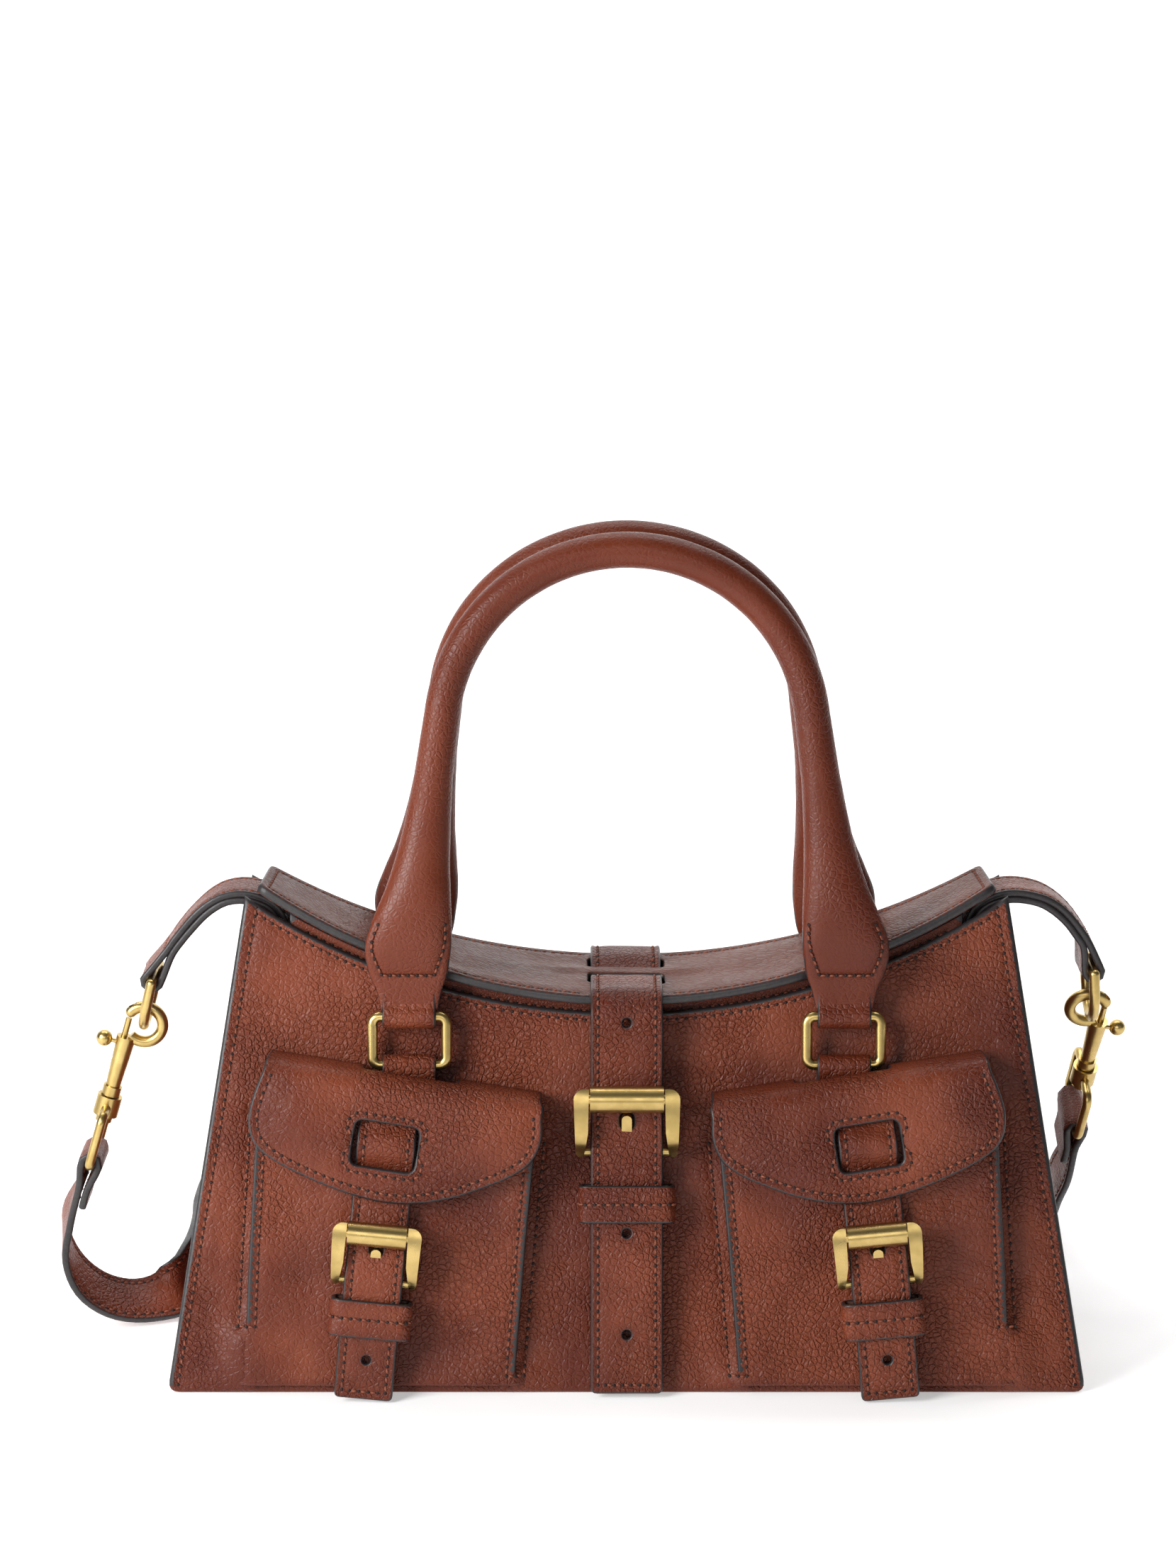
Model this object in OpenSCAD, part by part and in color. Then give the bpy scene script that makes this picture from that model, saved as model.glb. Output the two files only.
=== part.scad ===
// Satchel bag: a leather top-handle bag with a hinged lid, three buckled straps,
// two front pockets, two handles on rings and a clip-on shoulder strap.
// Millimetres. X is left to right, Y is front to back, Z is up.
// The origin is the centre of the underside, so the bag stands on Z = 0.

/* [Body] */
// width across the bottom of the front panel
base_w = 310; // [280:1:340]
// depth across the bottom, outside to outside
base_d = 116; // [100:1:130]
// width across the top corners
top_w = 258; // [240:1:280]
// depth across the top corners
top_d = 30; // [26:1:40]
// height of the top corners
corner_h = 162; // [150:1:180]
// how far the mouth dips between the corners
rim_dip = 38; // [30:1:44]
// thickness of the outer leather
leather = 2.6; // [2:0.1:3.2]

/* [Lid] */
// thickness of the lid with its backing
lid_t = 3.2; // [2.6:0.1:4]
// half of the width of the lid
lid_half = 125; // [120:1:130]

/* [Straps] */
// width of the centre strap
centre_w = 24.3; // [20:0.1:28]
// width of each pocket strap
pocket_w = 19.6; // [16:0.1:22]
// thickness of a strap
strap_t = 2.2; // [1.8:0.1:2.6]

/* [Handles] */
// diameter of the rolled handle
tube_d = 12; // [10:0.5:14]
// radius of the bend over the top of the handle
bend_r = 62; // [56:1:68]
// angle that each handle leans in
handle_lean = 7.2; // [4:0.1:10]

/* [Rings] */
// outside width of the handle rings
ring_w = 28.5; // [26:0.5:32]
// outside height of the handle rings
ring_h = 20; // [18:0.5:24]
// radius of the ring wire
wire_r = 1.8; // [1.5:0.1:2.2]

/* [Shoulder strap] */
// width of the shoulder strap
sling_w = 20; // [16:1:25]
// thickness of the shoulder strap
sling_t = 2.5; // [2:0.1:4]

/* [Hidden] */
$fn = 64;
gap = 0.3;
lean = atan((base_d - top_d) / 2 / corner_h);
side_lean = atan((base_w - top_w) / 2 / corner_h);
slant = 1 / cos(lean);
corner_v = corner_h * slant;
rim_v = (corner_h - rim_dip) * slant;
// radius of the curve of the rim, along the panel and seen level
rim_r = (pow(top_w / 2, 2) + pow(corner_v - rim_v, 2)) / 2 / (corner_v - rim_v);
rim_rz = (pow(top_w / 2, 2) + pow(rim_dip, 2)) / 2 / rim_dip;
rim_zc = corner_h - rim_dip + rim_rz;
facing_t = 1.7;
facing_up = 3;
facing_down = 26;
lining_t = 0.8;
gusset_t = 2;
gusset_in = 7;
gusset_h = 154;
// lid
lid_z = corner_h - rim_dip + facing_up + gap + lid_t;
lid_front = -29;
lid_back = 24.3;
hinge_y = 25;
hinge_z = 150;
// centre buckle, in panel coordinates: v up the panel, w out from it
cb_v = 99.6;
cb_w = 12.4;
cb_bar_v = 81.5;
bar_w = 2.75;
bar_r = 1.4;
roller_r = 4;
axle_r = 1.9;
running = 0.05;
// pocket face
face_v = 4;
face_w = 3.5;
face_tilt = 4.6;
pocket_t = 2.2;
flap_w = 4.5;
flap_t = 2.2;
fold_a = 9;
fold_u = 28.3;
fold_v = 98.7;
flap_hinge = -3;
window = [80.7, 80.9];
ps_u = 88.4;
ps_tilt = 5.4;
pb_v = 57;
pb_w = 9.2;
pb_bar_v = 40.2;
// ring on its leather tab
ring_u = 73;
ring_v = 110.8;
ring_out = 4.2;
ring_a = 6.3;
ring_step = ring_h - 2 * wire_r;
loop_t = 1.7;
// handle
tube_r = tube_d / 2;
skin = 1.8;
arch_a = 83;
// side tab and shoulder strap hardware
d_r = 12.1;
d_leg = 5.9;
head_r = 6.3;
hook_r = 2;
shank_x = 4.8;
eye_top = -32;
eye_low = -51.2;

// ---- helpers ----

// smooth curve through points
function pick(p, i) = p[max(0, min(len(p) - 1, i))];
function bend(a, b, c, d, t) =
  0.5 * ((2 * b) + (c - a) * t + (2 * a - 5 * b + 4 * c - d) * t * t + (3 * b - a - 3 * c + d) * t * t * t);
function smooth(p, n) = concat(
  [for (i = [0 : len(p) - 2]) for (k = [0 : n - 1])
    bend(pick(p, i - 1), p[i], p[i + 1], pick(p, i + 2), k / n)],
  [p[len(p) - 1]]);
function unit(v) = v / norm(v);
function side2(p, i) = let (d = unit(pick(p, i + 1) - pick(p, i - 1))) [-d[1], d[0]];
// flat outline of a bent strip of thickness t
module strip(p, t) {
  n = len(p);
  polygon(concat(
    [for (i = [0 : n - 1]) p[i] + side2(p, i) * t / 2],
    [for (i = [n - 1 : -1 : 0]) p[i] - side2(p, i) * t / 2]));
}

// rounded rectangle
module rrect(w, h, r) {
  square([w - 2 * r, h], center = true);
  square([w, h - 2 * r], center = true);
  for (x = [-1, 1], y = [-1, 1]) translate([x * (w / 2 - r), y * (h / 2 - r)]) circle(r = r, $fn = 32);
}

// panel coordinates: X across, Y up the panel, Z out of it
module on_front() translate([0, -base_d / 2, 0]) rotate([90 - lean, 0, 0]) children();
// pocket coordinates, on the outer face of the right pocket
module on_face() on_front() translate([0, face_v, face_w]) rotate([face_tilt, 0, 0]) children();
// along the fold of the right flap
module on_fold() on_face() translate([fold_u, fold_v - face_v, flap_w]) rotate([0, 0, fold_a]) children();
// down the right pocket strap
module on_strap() on_face() translate([ps_u, -5, 0]) rotate([0, 0, ps_tilt]) children();
module left() mirror([1, 0, 0]) children();
module back() mirror([0, 1, 0]) children();
// profile drawn as depth and height, extruded across by w
module across(w) rotate([90, 0, 90]) translate([0, 0, -w / 2]) linear_extrude(w) children();
module below_floor() translate([0, 0, -20]) cube([600, 600, 40], center = true);

// ---- body ----

module panel_outline(inset) difference() {
  polygon([[-base_w / 2 + inset, 0], [base_w / 2 - inset, 0], [top_w / 2 - inset, corner_v],
      [-top_w / 2 + inset, corner_v]]);
  translate([0, rim_v + rim_r]) circle(r = rim_r);
}
module panel() on_front() translate([0, 0, -leather]) linear_extrude(leather) panel_outline(0);
module front_panel() color([0.5, 0.22, 0.12]) difference() {
  panel();
  translate([0, 0, -20]) cube([600, 600, 40], center = true);
  on_front() translate([0, magnet_v, -leather - 1]) cylinder(r = magnet_r + 0.1, h = leather + 2);
}
module back_panel() color([0.5, 0.22, 0.12]) back() difference() {
  panel();
  translate([0, 0, -20]) cube([600, 600, 40], center = true);
}
module facing() on_front() translate([0, 0, -leather - gap - facing_t]) linear_extrude(facing_t)
    intersection() {
  translate([0, rim_v + rim_r]) difference() {
    circle(r = rim_r + facing_down);
    circle(r = rim_r - facing_up);
  }
  polygon([[-side_in(0), 0], [side_in(0), 0], [side_in(corner_h), corner_v],
      [side_in(corner_h), corner_v + 5],
    [-side_in(corner_h), corner_v + 5], [-side_in(corner_h), corner_v]]);
}
module front_facing() color([0.42, 0.2, 0.12]) facing();
module back_facing() color([0.42, 0.2, 0.12]) back() facing();

// half width and half depth of the space inside, at height z
function side_out(z) = base_w / 2 - gusset_in - z * tan(side_lean);
function side_in(z) = side_out(z) - gusset_t - gap;
function deep_in(z) = base_d / 2 - z * tan(lean) - (leather + gap) * slant;
module side_prism(z0, z1, o) rotate([90, 0, 0]) translate([0, 0, -100]) linear_extrude(200)
  polygon([[-side_in(z0) + o, z0], [side_in(z0) - o, z0], [side_in(z1) - o, z1], [-side_in(z1) + o, z1]]);
module deep_prism(z0, z1, o) across(400)
  polygon([[-deep_in(z0) + o, z0], [deep_in(z0) - o, z0], [deep_in(z1) - o, z1], [-deep_in(z1) + o, z1]]);

module flange() on_front() translate([0, 0, -leather - gap - gusset_t]) linear_extrude(gusset_t)
  polygon([[side_out(0) - gusset_t, 0], [base_w / 2 - 0.6, 0],
      [top_w / 2 + 1.2 - 0.6, gusset_h * slant - 1],
      [side_out(gusset_h) - gusset_t, gusset_h * slant - 1]]);
module gusset() difference() {
  union() {
    intersection() {
      rotate([90, 0, 0]) translate([0, 0, -60]) linear_extrude(120)
        polygon([[side_out(0) - gusset_t, 0], [side_out(0), 0], [side_out(gusset_h), gusset_h],
            [side_out(gusset_h) - gusset_t, gusset_h]]);
      deep_prism(0, gusset_h, 0);
    }
    flange();
    back() flange();
  }
  translate([0, 0, -20]) cube([600, 600, 40], center = true);
}
module gusset_right() color([0.47, 0.2, 0.11]) gusset();
module gusset_left() color([0.47, 0.2, 0.11]) left() gusset();
module base_panel() color([0.45, 0.2, 0.11]) intersection() {
  side_prism(0, 3, 0);
  deep_prism(0, 3, gap + 2);
}
module base_board() color([0.7, 0.6, 0.45]) intersection() {
  side_prism(3 + gap, 5.5, 1);
  deep_prism(3 + gap, 5.5, 3);
}
module lining() color([0.6, 0.52, 0.42]) difference() {
  intersection() {
    side_prism(5.8, 150, 0.2);
    deep_prism(5.8, 150, 0.2);
  }
  intersection() {
    side_prism(5.8 + lining_t, 151, 0.2 + lining_t);
    deep_prism(5.8 + lining_t, 151, 0.2 + lining_t);
  }
  translate([0, 0, rim_zc]) rotate([90, 0, 0])
      cylinder(r = rim_rz + facing_down + 2, h = 200, center = true, $fn = 128);
}

// ---- lid and the straps over it ----

lens_front = 585;
lens_back = 765;
// the front edge curves back behind each handle
module lens() difference() {
  lens_outline();
  for (s = [-1, 1]) translate([s * ring_u, -21.6 - 60]) circle(r = 60, $fn = 128);
}
module lens_outline() intersection() {
  translate([0, lid_front + lens_front]) circle(r = lens_front, $fn = 256);
  translate([0, lid_back - lens_back]) circle(r = lens_back, $fn = 256);
  polygon([[-lid_half, -40], [-lid_half, -12], [-lid_half + 1, -10], [-lid_half + 1, 12],
      [-lid_half + 4, 40],
    [lid_half - 4, 40], [lid_half - 1, 12], [lid_half - 1, -10], [lid_half, -12], [lid_half, -40]]);
}
slot_w = centre_w + 1.6;
module lid() color([0.48, 0.21, 0.12]) union() {
  difference() {
    intersection() {
      translate([0, 0, rim_zc]) rotate([90, 0, 0]) translate([0, 0, -60]) linear_extrude(120)
          difference() {
        circle(r = rim_rz - facing_up - gap, $fn = 256);
        circle(r = rim_rz - facing_up - gap - lid_t, $fn = 256);
      }
      translate([0, 0, 90]) linear_extrude(100) lens();
    }
    translate([-slot_w / 2, -13, lid_z - 8]) cube([slot_w, 29, 20]);
  }
  translate([-slot_w / 2 - 3, -2.5, lid_z - 0.2]) cube([slot_w + 6, 8, 2.2]);
}
function pv(v, w) = [-base_d / 2 + v * sin(lean) - w * cos(lean), v * cos(lean) + w * sin(lean)];
strap_path = concat(
  [[23.4, lid_z + 1.5], [15.5, lid_z + 1.45], [12, lid_z + 0.7], [8.8, lid_z - 0.8], [5.5, lid_z - 1.8],
      [1.5, lid_z - 2],
    [-2.5, lid_z - 1.8], [-5.8, lid_z - 0.8], [-9, lid_z + 0.7], [-12.5, lid_z + 1.45],
        [-22, lid_z + 1.5],
    [-28, lid_z + 1.3], [-32, lid_z - 0.8]],
  [pv(128, 9.6), pv(121, 8.8), pv(110, 7.2), pv(99, 6.6), pv(86, 6.6), pv(72, 6.5), pv(56, 6.4),
      pv(42, 6), pv(28, 5), pv(14, 4.4), pv(0.4, 4.2)]);
module hole_at(v, r, h) on_front() translate([0, v, 0]) cylinder(r = r, h = h, $fn = 24);
module centre_strap() color([0.5, 0.22, 0.12]) difference() {
  across(centre_w) strip(smooth(strap_path, 4), strap_t);
  for (v = [125.2, 54.6, 20.5]) hole_at(v, 1.4, 20);
  on_front() translate([-2.2, cb_bar_v + 1, 0]) cube([4.4, 11, 20]);
}
module rear_strap() color([0.5, 0.22, 0.12]) back() difference() {
  across(centre_w) strip(smooth([[-24, lid_z + 1.5], [-26.5, lid_z + 0.9], [-29, lid_z - 1.5],
      pv(124, 3.2), pv(116, 1.9), pv(104, 1.6), pv(80, 1.6), pv(56, 1.6), pv(34, 1.6)], 3), strap_t);
  on_front() translate([0, 0, -19.98]) cube([400, 400, 40], center = true);
}

// ---- buckles ----

// a bent bar seen from the side, with the given width across
module side_bar(p, t, w) rotate([90, 0, 90]) translate([0, 0, -w / 2]) linear_extrude(w)
    strip(smooth(p, 4), t);
module rod(v, w, r, l) translate([-l / 2, v, w]) rotate([0, 90, 0]) cylinder(r = r, h = l, $fn = 48);
// outline of one arm seen from the front, with rounded outer corners
function arc(x, y, r, a, b) = [for (k = [0 : 5])
    let (t = a + (b - a) * k / 5) [x + r * cos(t), y + r * sin(t)]];
module arm_outline(top, low, half, arm) polygon(concat(
  arc(half - 3.4, top - 3.4, 3.4, 0, 90),
  [[half - arm, top], [half - arm + 0.3, low + 9], [half - arm + 1.6, low + 1.2]],
  [[half - arm + 2.6, low]],
  arc(half - 3, low + 2.4, 2.4, 270, 360)));
module frame(v, w, bv, half, arm) {
  for (m = [0, 1]) mirror([m, 0, 0]) intersection() {
    translate([half - arm / 2, 0, 0]) side_bar([[v + 3.6, w - 0.4], [v, w + 0.4], [v - 6, w],
      [bv + 5, w - 2], [bv + 1.5, bar_w + 2.2], [bv - 0.6, bar_w - 0.6]], 3.2, arm + 2);
    translate([0, 0, -10]) linear_extrude(40) arm_outline(v + 3.5, bv - 2.2, half, arm);
  }
  rod(v, w, axle_r, 2 * half - 2);
  rod(bv, bar_w, bar_r, 2 * half - 2);
}
module roller(v, w, l, r) difference() {
  rod(v, w, r, l);
  rod(v, w, axle_r + running, l + 2);
}
module prong(v, w, bv, tip) difference() {
  union() {
    rod(bv, bar_w, 2.5, 3.4);
    translate([0, bv, bar_w]) rotate([atan2(w - bar_w, v - bv), 0, 0]) translate([0, tip / 2, 0])
        cube([3.4, tip, 2], center = true);
    translate([0, bv, bar_w]) rotate([atan2(w - bar_w, v - bv), 0, 0]) translate([0, tip, -1])
        cylinder(r = 1.7, h = 2, $fn = 32);
  }
  rod(bv, bar_w, bar_r + running, 8);
}
// leather folded round the lower bar, with a groove for the keeper and a seat for the magnet
module chape(bv, w, kv, mv, low) difference() {
  union() {
    rod(bv, bar_w, 2.45, w);
    translate([-w / 2, low, 1]) cube([w, bv - low, 3.6]);
  }
  rod(bv, bar_w, bar_r + running, w + 2);
  translate([-2.1, bv - 5, -1]) cube([4.2, 9, 8]);
  translate([-w, kv - 7, 0]) cube([2 * w, 14, 2.3]);
  translate([0, mv, 0]) cylinder(r = magnet_r + 0.1, h = 2.3);
}
module keeper(kv, w, top) translate([0, kv, 0]) rotate([90, 0, 0]) translate([0, 0, -6.3])
    linear_extrude(12.6) translate([0, (0.35 + top) / 2]) difference() {
  rrect(w, top - 0.35, 1.4);
  rrect(w - 3.2, top - 0.35 - 3.2, 0.6);
}
magnet_r = 5;
magnet_v = 51;
brass = [0.72, 0.56, 0.26];
module centre_buckle_frame() color(brass) on_front() frame(cb_v, cb_w, cb_bar_v, 17.8, 5.1);
module centre_roller() color(brass) on_front() roller(cb_v, cb_w, 24.6, roller_r + 0.4);
module centre_prong() color(brass) on_front() prong(cb_v, cb_w, cb_bar_v, 13);
module centre_chape() color([0.5, 0.22, 0.12]) on_front() chape(cb_bar_v, 22, 64.3, magnet_v, 43);
module centre_keeper() color([0.5, 0.22, 0.12]) on_front() keeper(64.3, 32.4, 9.7);
module centre_magnet() color([0.6, 0.6, 0.62]) on_front() translate([0, magnet_v, gap])
    cylinder(r = magnet_r, h = 1.8);
module centre_magnet_plate() color([0.6, 0.6, 0.62]) on_front() translate([0, magnet_v, -leather])
    cylinder(r = magnet_r, h = leather - 0.05);

// ---- pockets, drawn on the right ----

module pocket_outline() polygon([[37.8, 3], [128, 3], [127.6, 30], [123.6, 100], [30.6, 85.5], [34, 50]]);
module pocket_inside() polygon([[39.8, 5], [126, 5], [125.6, 30], [121.2, 110], [32.2, 110], [32.4, 88],
    [36, 50]]);
module pocket() difference() {
  intersection() {
    on_front() translate([0, 0, 0.3]) linear_extrude(30) pocket_outline();
    on_face() translate([0, 0, -50]) cube([400, 300, 100], center = true);
  }
  intersection() {
    on_front() translate([0, 0, -1]) linear_extrude(30) pocket_inside();
    on_face() translate([0, 0, -50 - pocket_t]) cube([400, 300, 100], center = true);
  }
  on_face() translate([p_magnet[0], p_magnet[1], -1.3]) cylinder(r = magnet_r + 0.1, h = 4);
}
p_magnet = [86.6, 13];
// the lower edge of the flap, in panel coordinates
flap_edge = smooth([[28.2, 94], [28.4, 87], [31.4, 80], [37.4, 75.2], [46, 71.4], [58, 67.4],
    [71.8, 65.4], [84, 66.4], [98, 70.6], [112, 76.8], [120.6, 82], [125.2, 87.4], [126.2, 95],
    [124.2, 103], [121.4, 109.8]], 4);
module flap_outline() intersection() {
  translate([0, -face_v]) polygon(concat(flap_edge, [[121.4, 130], [28.2, 130]]));
  translate([fold_u, fold_v - face_v]) rotate(fold_a) translate([-20, -90])
      square([140, 90 + flap_hinge - 0.15]);
}
module flap() on_face() translate([0, 0, flap_w - flap_t / 2]) linear_extrude(flap_t) difference() {
  flap_outline();
  translate(window) rotate(fold_a) rrect(21.4, 15, 2.5);
}
root_path = [[flap_hinge + 0.15, 0], [-1.8, 0], [-1.05, -0.2], [-0.4, -0.6], [0.1, -1.2],
  [0.45, -2], [0.7, -3.1], [0.85, -4.6], [1, -8], [1.2, -13], [1.2, -23]];
module flap_root() difference() {
  on_fold() translate([46.6, 0, 0]) rotate([90, 0, 90]) translate([0, 0, -46.2]) linear_extrude(92.4)
    strip(root_path, flap_t);
  on_front() translate([0, 0, -19.7]) cube([600, 600, 40], center = true);
  on_front() translate([ring_u - 16, 80, -1]) cube([32, 50, 8.6]);
}
module pocket_strap() on_strap() difference() {
  rotate([90, 0, 90]) translate([0, 0, -pocket_w / 2]) linear_extrude(pocket_w)
    strip(smooth([[100, 1.7], [95.5, 1.7], [92, 2.6], [88.8, 4.7], [86.3, 5.1], [83.8, 4.7],
        [80.6, 2.6], [77, 1.75], [70, 1.75], [64, 2.3], [57, 3.8], [50, 5.9], [42, 6.6], [30, 6.6],
        [18, 6.4], [8, 5.4], [0.6, 4.4]], 4), strap_t);
  translate([0, 14.5, 0]) cylinder(r = 1.4, h = 20, $fn = 24);
  translate([-2.2, pb_bar_v + 1.5, 0]) cube([4.4, 11, 20]);
}
module p_frame() on_strap() frame(pb_v, pb_w, pb_bar_v, 14.9, 4.7);
module p_roller() on_strap() roller(pb_v, pb_w, 19.6, roller_r);
module p_prong() on_strap() prong(pb_v, pb_w, pb_bar_v, 11.2);
module p_chape() on_strap() chape(pb_bar_v, 17.6, 28.3, 17, 10.5);
module p_keeper() on_strap() keeper(28.3, 27.4, 9.6);
module p_magnet_disc() on_strap() translate([0, 17, gap]) cylinder(r = magnet_r, h = 1.8);

module pocket_right() color([0.5, 0.22, 0.12]) pocket();
module pocket_left() color([0.5, 0.22, 0.12]) left() pocket();
module flap_root_right() color([0.48, 0.21, 0.12]) flap_root();
module flap_root_left() color([0.48, 0.21, 0.12]) left() flap_root();
module flap_right() color([0.48, 0.21, 0.12]) flap();
module flap_left() color([0.48, 0.21, 0.12]) left() flap();
module pocket_strap_right() color([0.5, 0.22, 0.12]) pocket_strap();
module pocket_strap_left() color([0.5, 0.22, 0.12]) left() pocket_strap();
module buckle_frame_right() color(brass) p_frame();
module buckle_frame_left() color(brass) left() p_frame();
module roller_right() color(brass) p_roller();
module roller_left() color(brass) left() p_roller();
module prong_right() color(brass) p_prong();
module prong_left() color(brass) left() p_prong();
module chape_right() color([0.5, 0.22, 0.12]) p_chape();
module chape_left() color([0.5, 0.22, 0.12]) left() p_chape();
module keeper_right() color([0.5, 0.22, 0.12]) p_keeper();
module keeper_left() color([0.5, 0.22, 0.12]) left() p_keeper();
module magnet_right() color([0.6, 0.6, 0.62]) p_magnet_disc();
module magnet_left() color([0.6, 0.6, 0.62]) left() p_magnet_disc();

// ---- handle rings ----

module on_ring() on_front() translate([ring_u, ring_v, ring_out]) rotate([ring_a, 0, 0]) children();
module ring() on_ring() {
  for (y = [0, ring_step]) rod(y, 0, wire_r, ring_w - 9);
  for (x = [-1, 1]) translate([x * (ring_w / 2 - wire_r), 4.5 - wire_r, 0]) rotate([-90, 0, 0])
      cylinder(r = wire_r, h = ring_step - 5.4, $fn = 48);
  for (x = [0, 1], y = [0, 1]) mirror([x, 0, 0])
      translate([ring_w / 2 - 4.5, y * ring_step + (1 - 2 * y) * 2.7, 0]) mirror([0, 1 - y, 0])
    rotate_extrude(angle = 90) translate([2.7, 0]) circle(r = wire_r, $fn = 48);
}
module ring_tab() on_front() difference() {
  union() {
    rod(ring_v, ring_out, wire_r + 0.08 + loop_t, 18);
    translate([-9, 96, 0.35]) cube([18, ring_v - 96, 3.4]);
  }
  rod(ring_v, ring_out, wire_r + 0.08, 20);
}
module ring_tab_at(s) translate([s * ring_u, 0, 0]) ring_tab();
module ring_tabs() {
  ring_tab_at(-1);
  ring_tab_at(1);
}
module ring_tabs_front() color([0.5, 0.22, 0.12]) ring_tabs();
module ring_tabs_back() color([0.5, 0.22, 0.12]) back() ring_tabs();
module ring_front_right() color(brass) ring();
module ring_front_left() color(brass) left() ring();
module ring_back_right() color(brass) back() ring();
module ring_back_left() color(brass) back() left() ring();

// ---- handles ----

ring_top = pv(ring_v + ring_step * cos(ring_a), ring_out + ring_step * sin(ring_a));
module on_handle() translate([0, ring_top[0], ring_top[1]]) rotate([-handle_lean, 0, 0]) children();
// stations up one leg: height, middle, half width, half thickness, squareness, how far the stuffing stands forward
leg = [
  [2.8, 73, 9.6, 2.2, 5, 0], [9, 73, 11, 2.3, 5, 0], [14, 73.2, 13, 2.8, 4, 0.4],
  [20, 73.4, 14.2, 4, 3, 1.6], [26, 73, 14.4, 5.1, 2.5, 2.5], [34, 71.4, 12.9, 5.7, 2.1, 2.9],
  [43, 69.6, 10.9, 6, 2, 2.5], [54, 68, 9, 6.1, 2, 1], [68, 66.2, 7.5, 6.1, 2, 0.2],
      [82, 64.4, 6.4, 6, 2, 0]
];
arch_steps = 14;
arch_top = 156.6 - bend_r;
arch = [for (i = [0 : arch_steps]) let (a = arch_a * (1 - 2 * i / arch_steps)) [a, bend_r * sin(a),
    arch_top + bend_r * cos(a)]];
n_leg = len(leg);
// each ring of the handle skin: centre, direction across, half sizes, squareness
function leg_dir(i) = let (a = leg[max(0, i - 1)],
    b = leg[min(n_leg - 1, i + 1)]) unit([b[1] - a[1], b[0] - a[0]]);
stations = concat(
  [for (i = [0 : n_leg - 1]) let (d = leg_dir(i)) [[leg[i][1], leg[i][0]], [d[1], -d[0]], leg[i][2],
      leg[i][3], leg[i][4], leg[i][5]]],
  [for (p = arch) [[p[1], p[2]], [sin(p[0]), cos(p[0])], tube_r, tube_r, 2, 0]],
  [for (i = [n_leg - 1 : -1 : 0]) let (d = leg_dir(i)) [[-leg[i][1], leg[i][0]], [-d[1], -d[0]],
      leg[i][2], leg[i][3], leg[i][4], leg[i][5]]]);
sides = 20;
function pw(c, e) = sign(c) * pow(abs(c), 2 / e);
function loop_pts(s, off) = [for (k = [0 : sides - 1]) let (a = 360 * k / sides,
  x = (s[2] - off) * pw(cos(a), s[4]), y = (s[3] - off) * pw(sin(a), s[4]))
  [s[0][0] + s[1][0] * x, y - s[5], s[0][1] + s[1][1] * x]];
module handle_skin() {
  m = len(stations);
  pts = concat([for (s = stations) each loop_pts(s, 0)], [for (s = stations) each loop_pts(s, skin)]);
  in = m * sides;
  polyhedron(pts, concat(
    [for (i = [0 : m - 2], k = [0 : sides - 1])
        let (j = (k + 1) % sides) [i * sides + k, (i + 1) * sides + k, (i + 1) * sides + j,
        i * sides + j]],
    [for (i = [0 : m - 2], k = [0 : sides - 1])
        let (j = (k + 1) % sides) [in + i * sides + j, in + (i + 1) * sides + j,
        in + (i + 1) * sides + k, in + i * sides + k]],
    [for (k = [0 : sides - 1]) let (j = (k + 1) % sides) [k, j, in + j, in + k]],
    [for (k = [0 : sides - 1]) let (j = (k + 1) % sides, o = (m - 1) * sides) [o + j, o + k, in + o + k,
        in + o + j]]));
}
module handle_core() on_handle() {
  first = 3;
  s = [for (i = [first : len(stations) - 1 - first]) stations[i]];
  m = len(s);
  polyhedron([for (q = s) each loop_pts(q, skin + 0.25)], concat(
    [for (i = [0 : m - 2], k = [0 : sides - 1])
        let (j = (k + 1) % sides) [i * sides + k, (i + 1) * sides + k, (i + 1) * sides + j,
        i * sides + j]],
    [[for (k = [0 : sides - 1]) k], [for (k = [sides - 1 : -1 : 0]) (m - 1) * sides + k]]));
}
module handle() on_handle() difference() {
  union() {
    handle_skin();
    for (s = [-1, 1]) translate([s * ring_u - 9, 0, 0]) rotate([0, 90, 0])
        cylinder(r = wire_r + 0.08 + loop_t, h = 18, $fn = 48);
  }
  for (s = [-1, 1]) translate([s * ring_u - 10, 0, 0]) rotate([0, 90, 0])
      cylinder(r = wire_r + 0.08, h = 20, $fn = 48);
}
module handle_front() color([0.5, 0.22, 0.12]) handle();
module handle_back() color([0.5, 0.22, 0.12]) back() handle();
module handle_core_front() color([0.8, 0.76, 0.66]) handle_core();
module handle_core_back() color([0.8, 0.76, 0.66]) back() handle_core();

// ---- side tabs, D-rings and hooks ----

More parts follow.
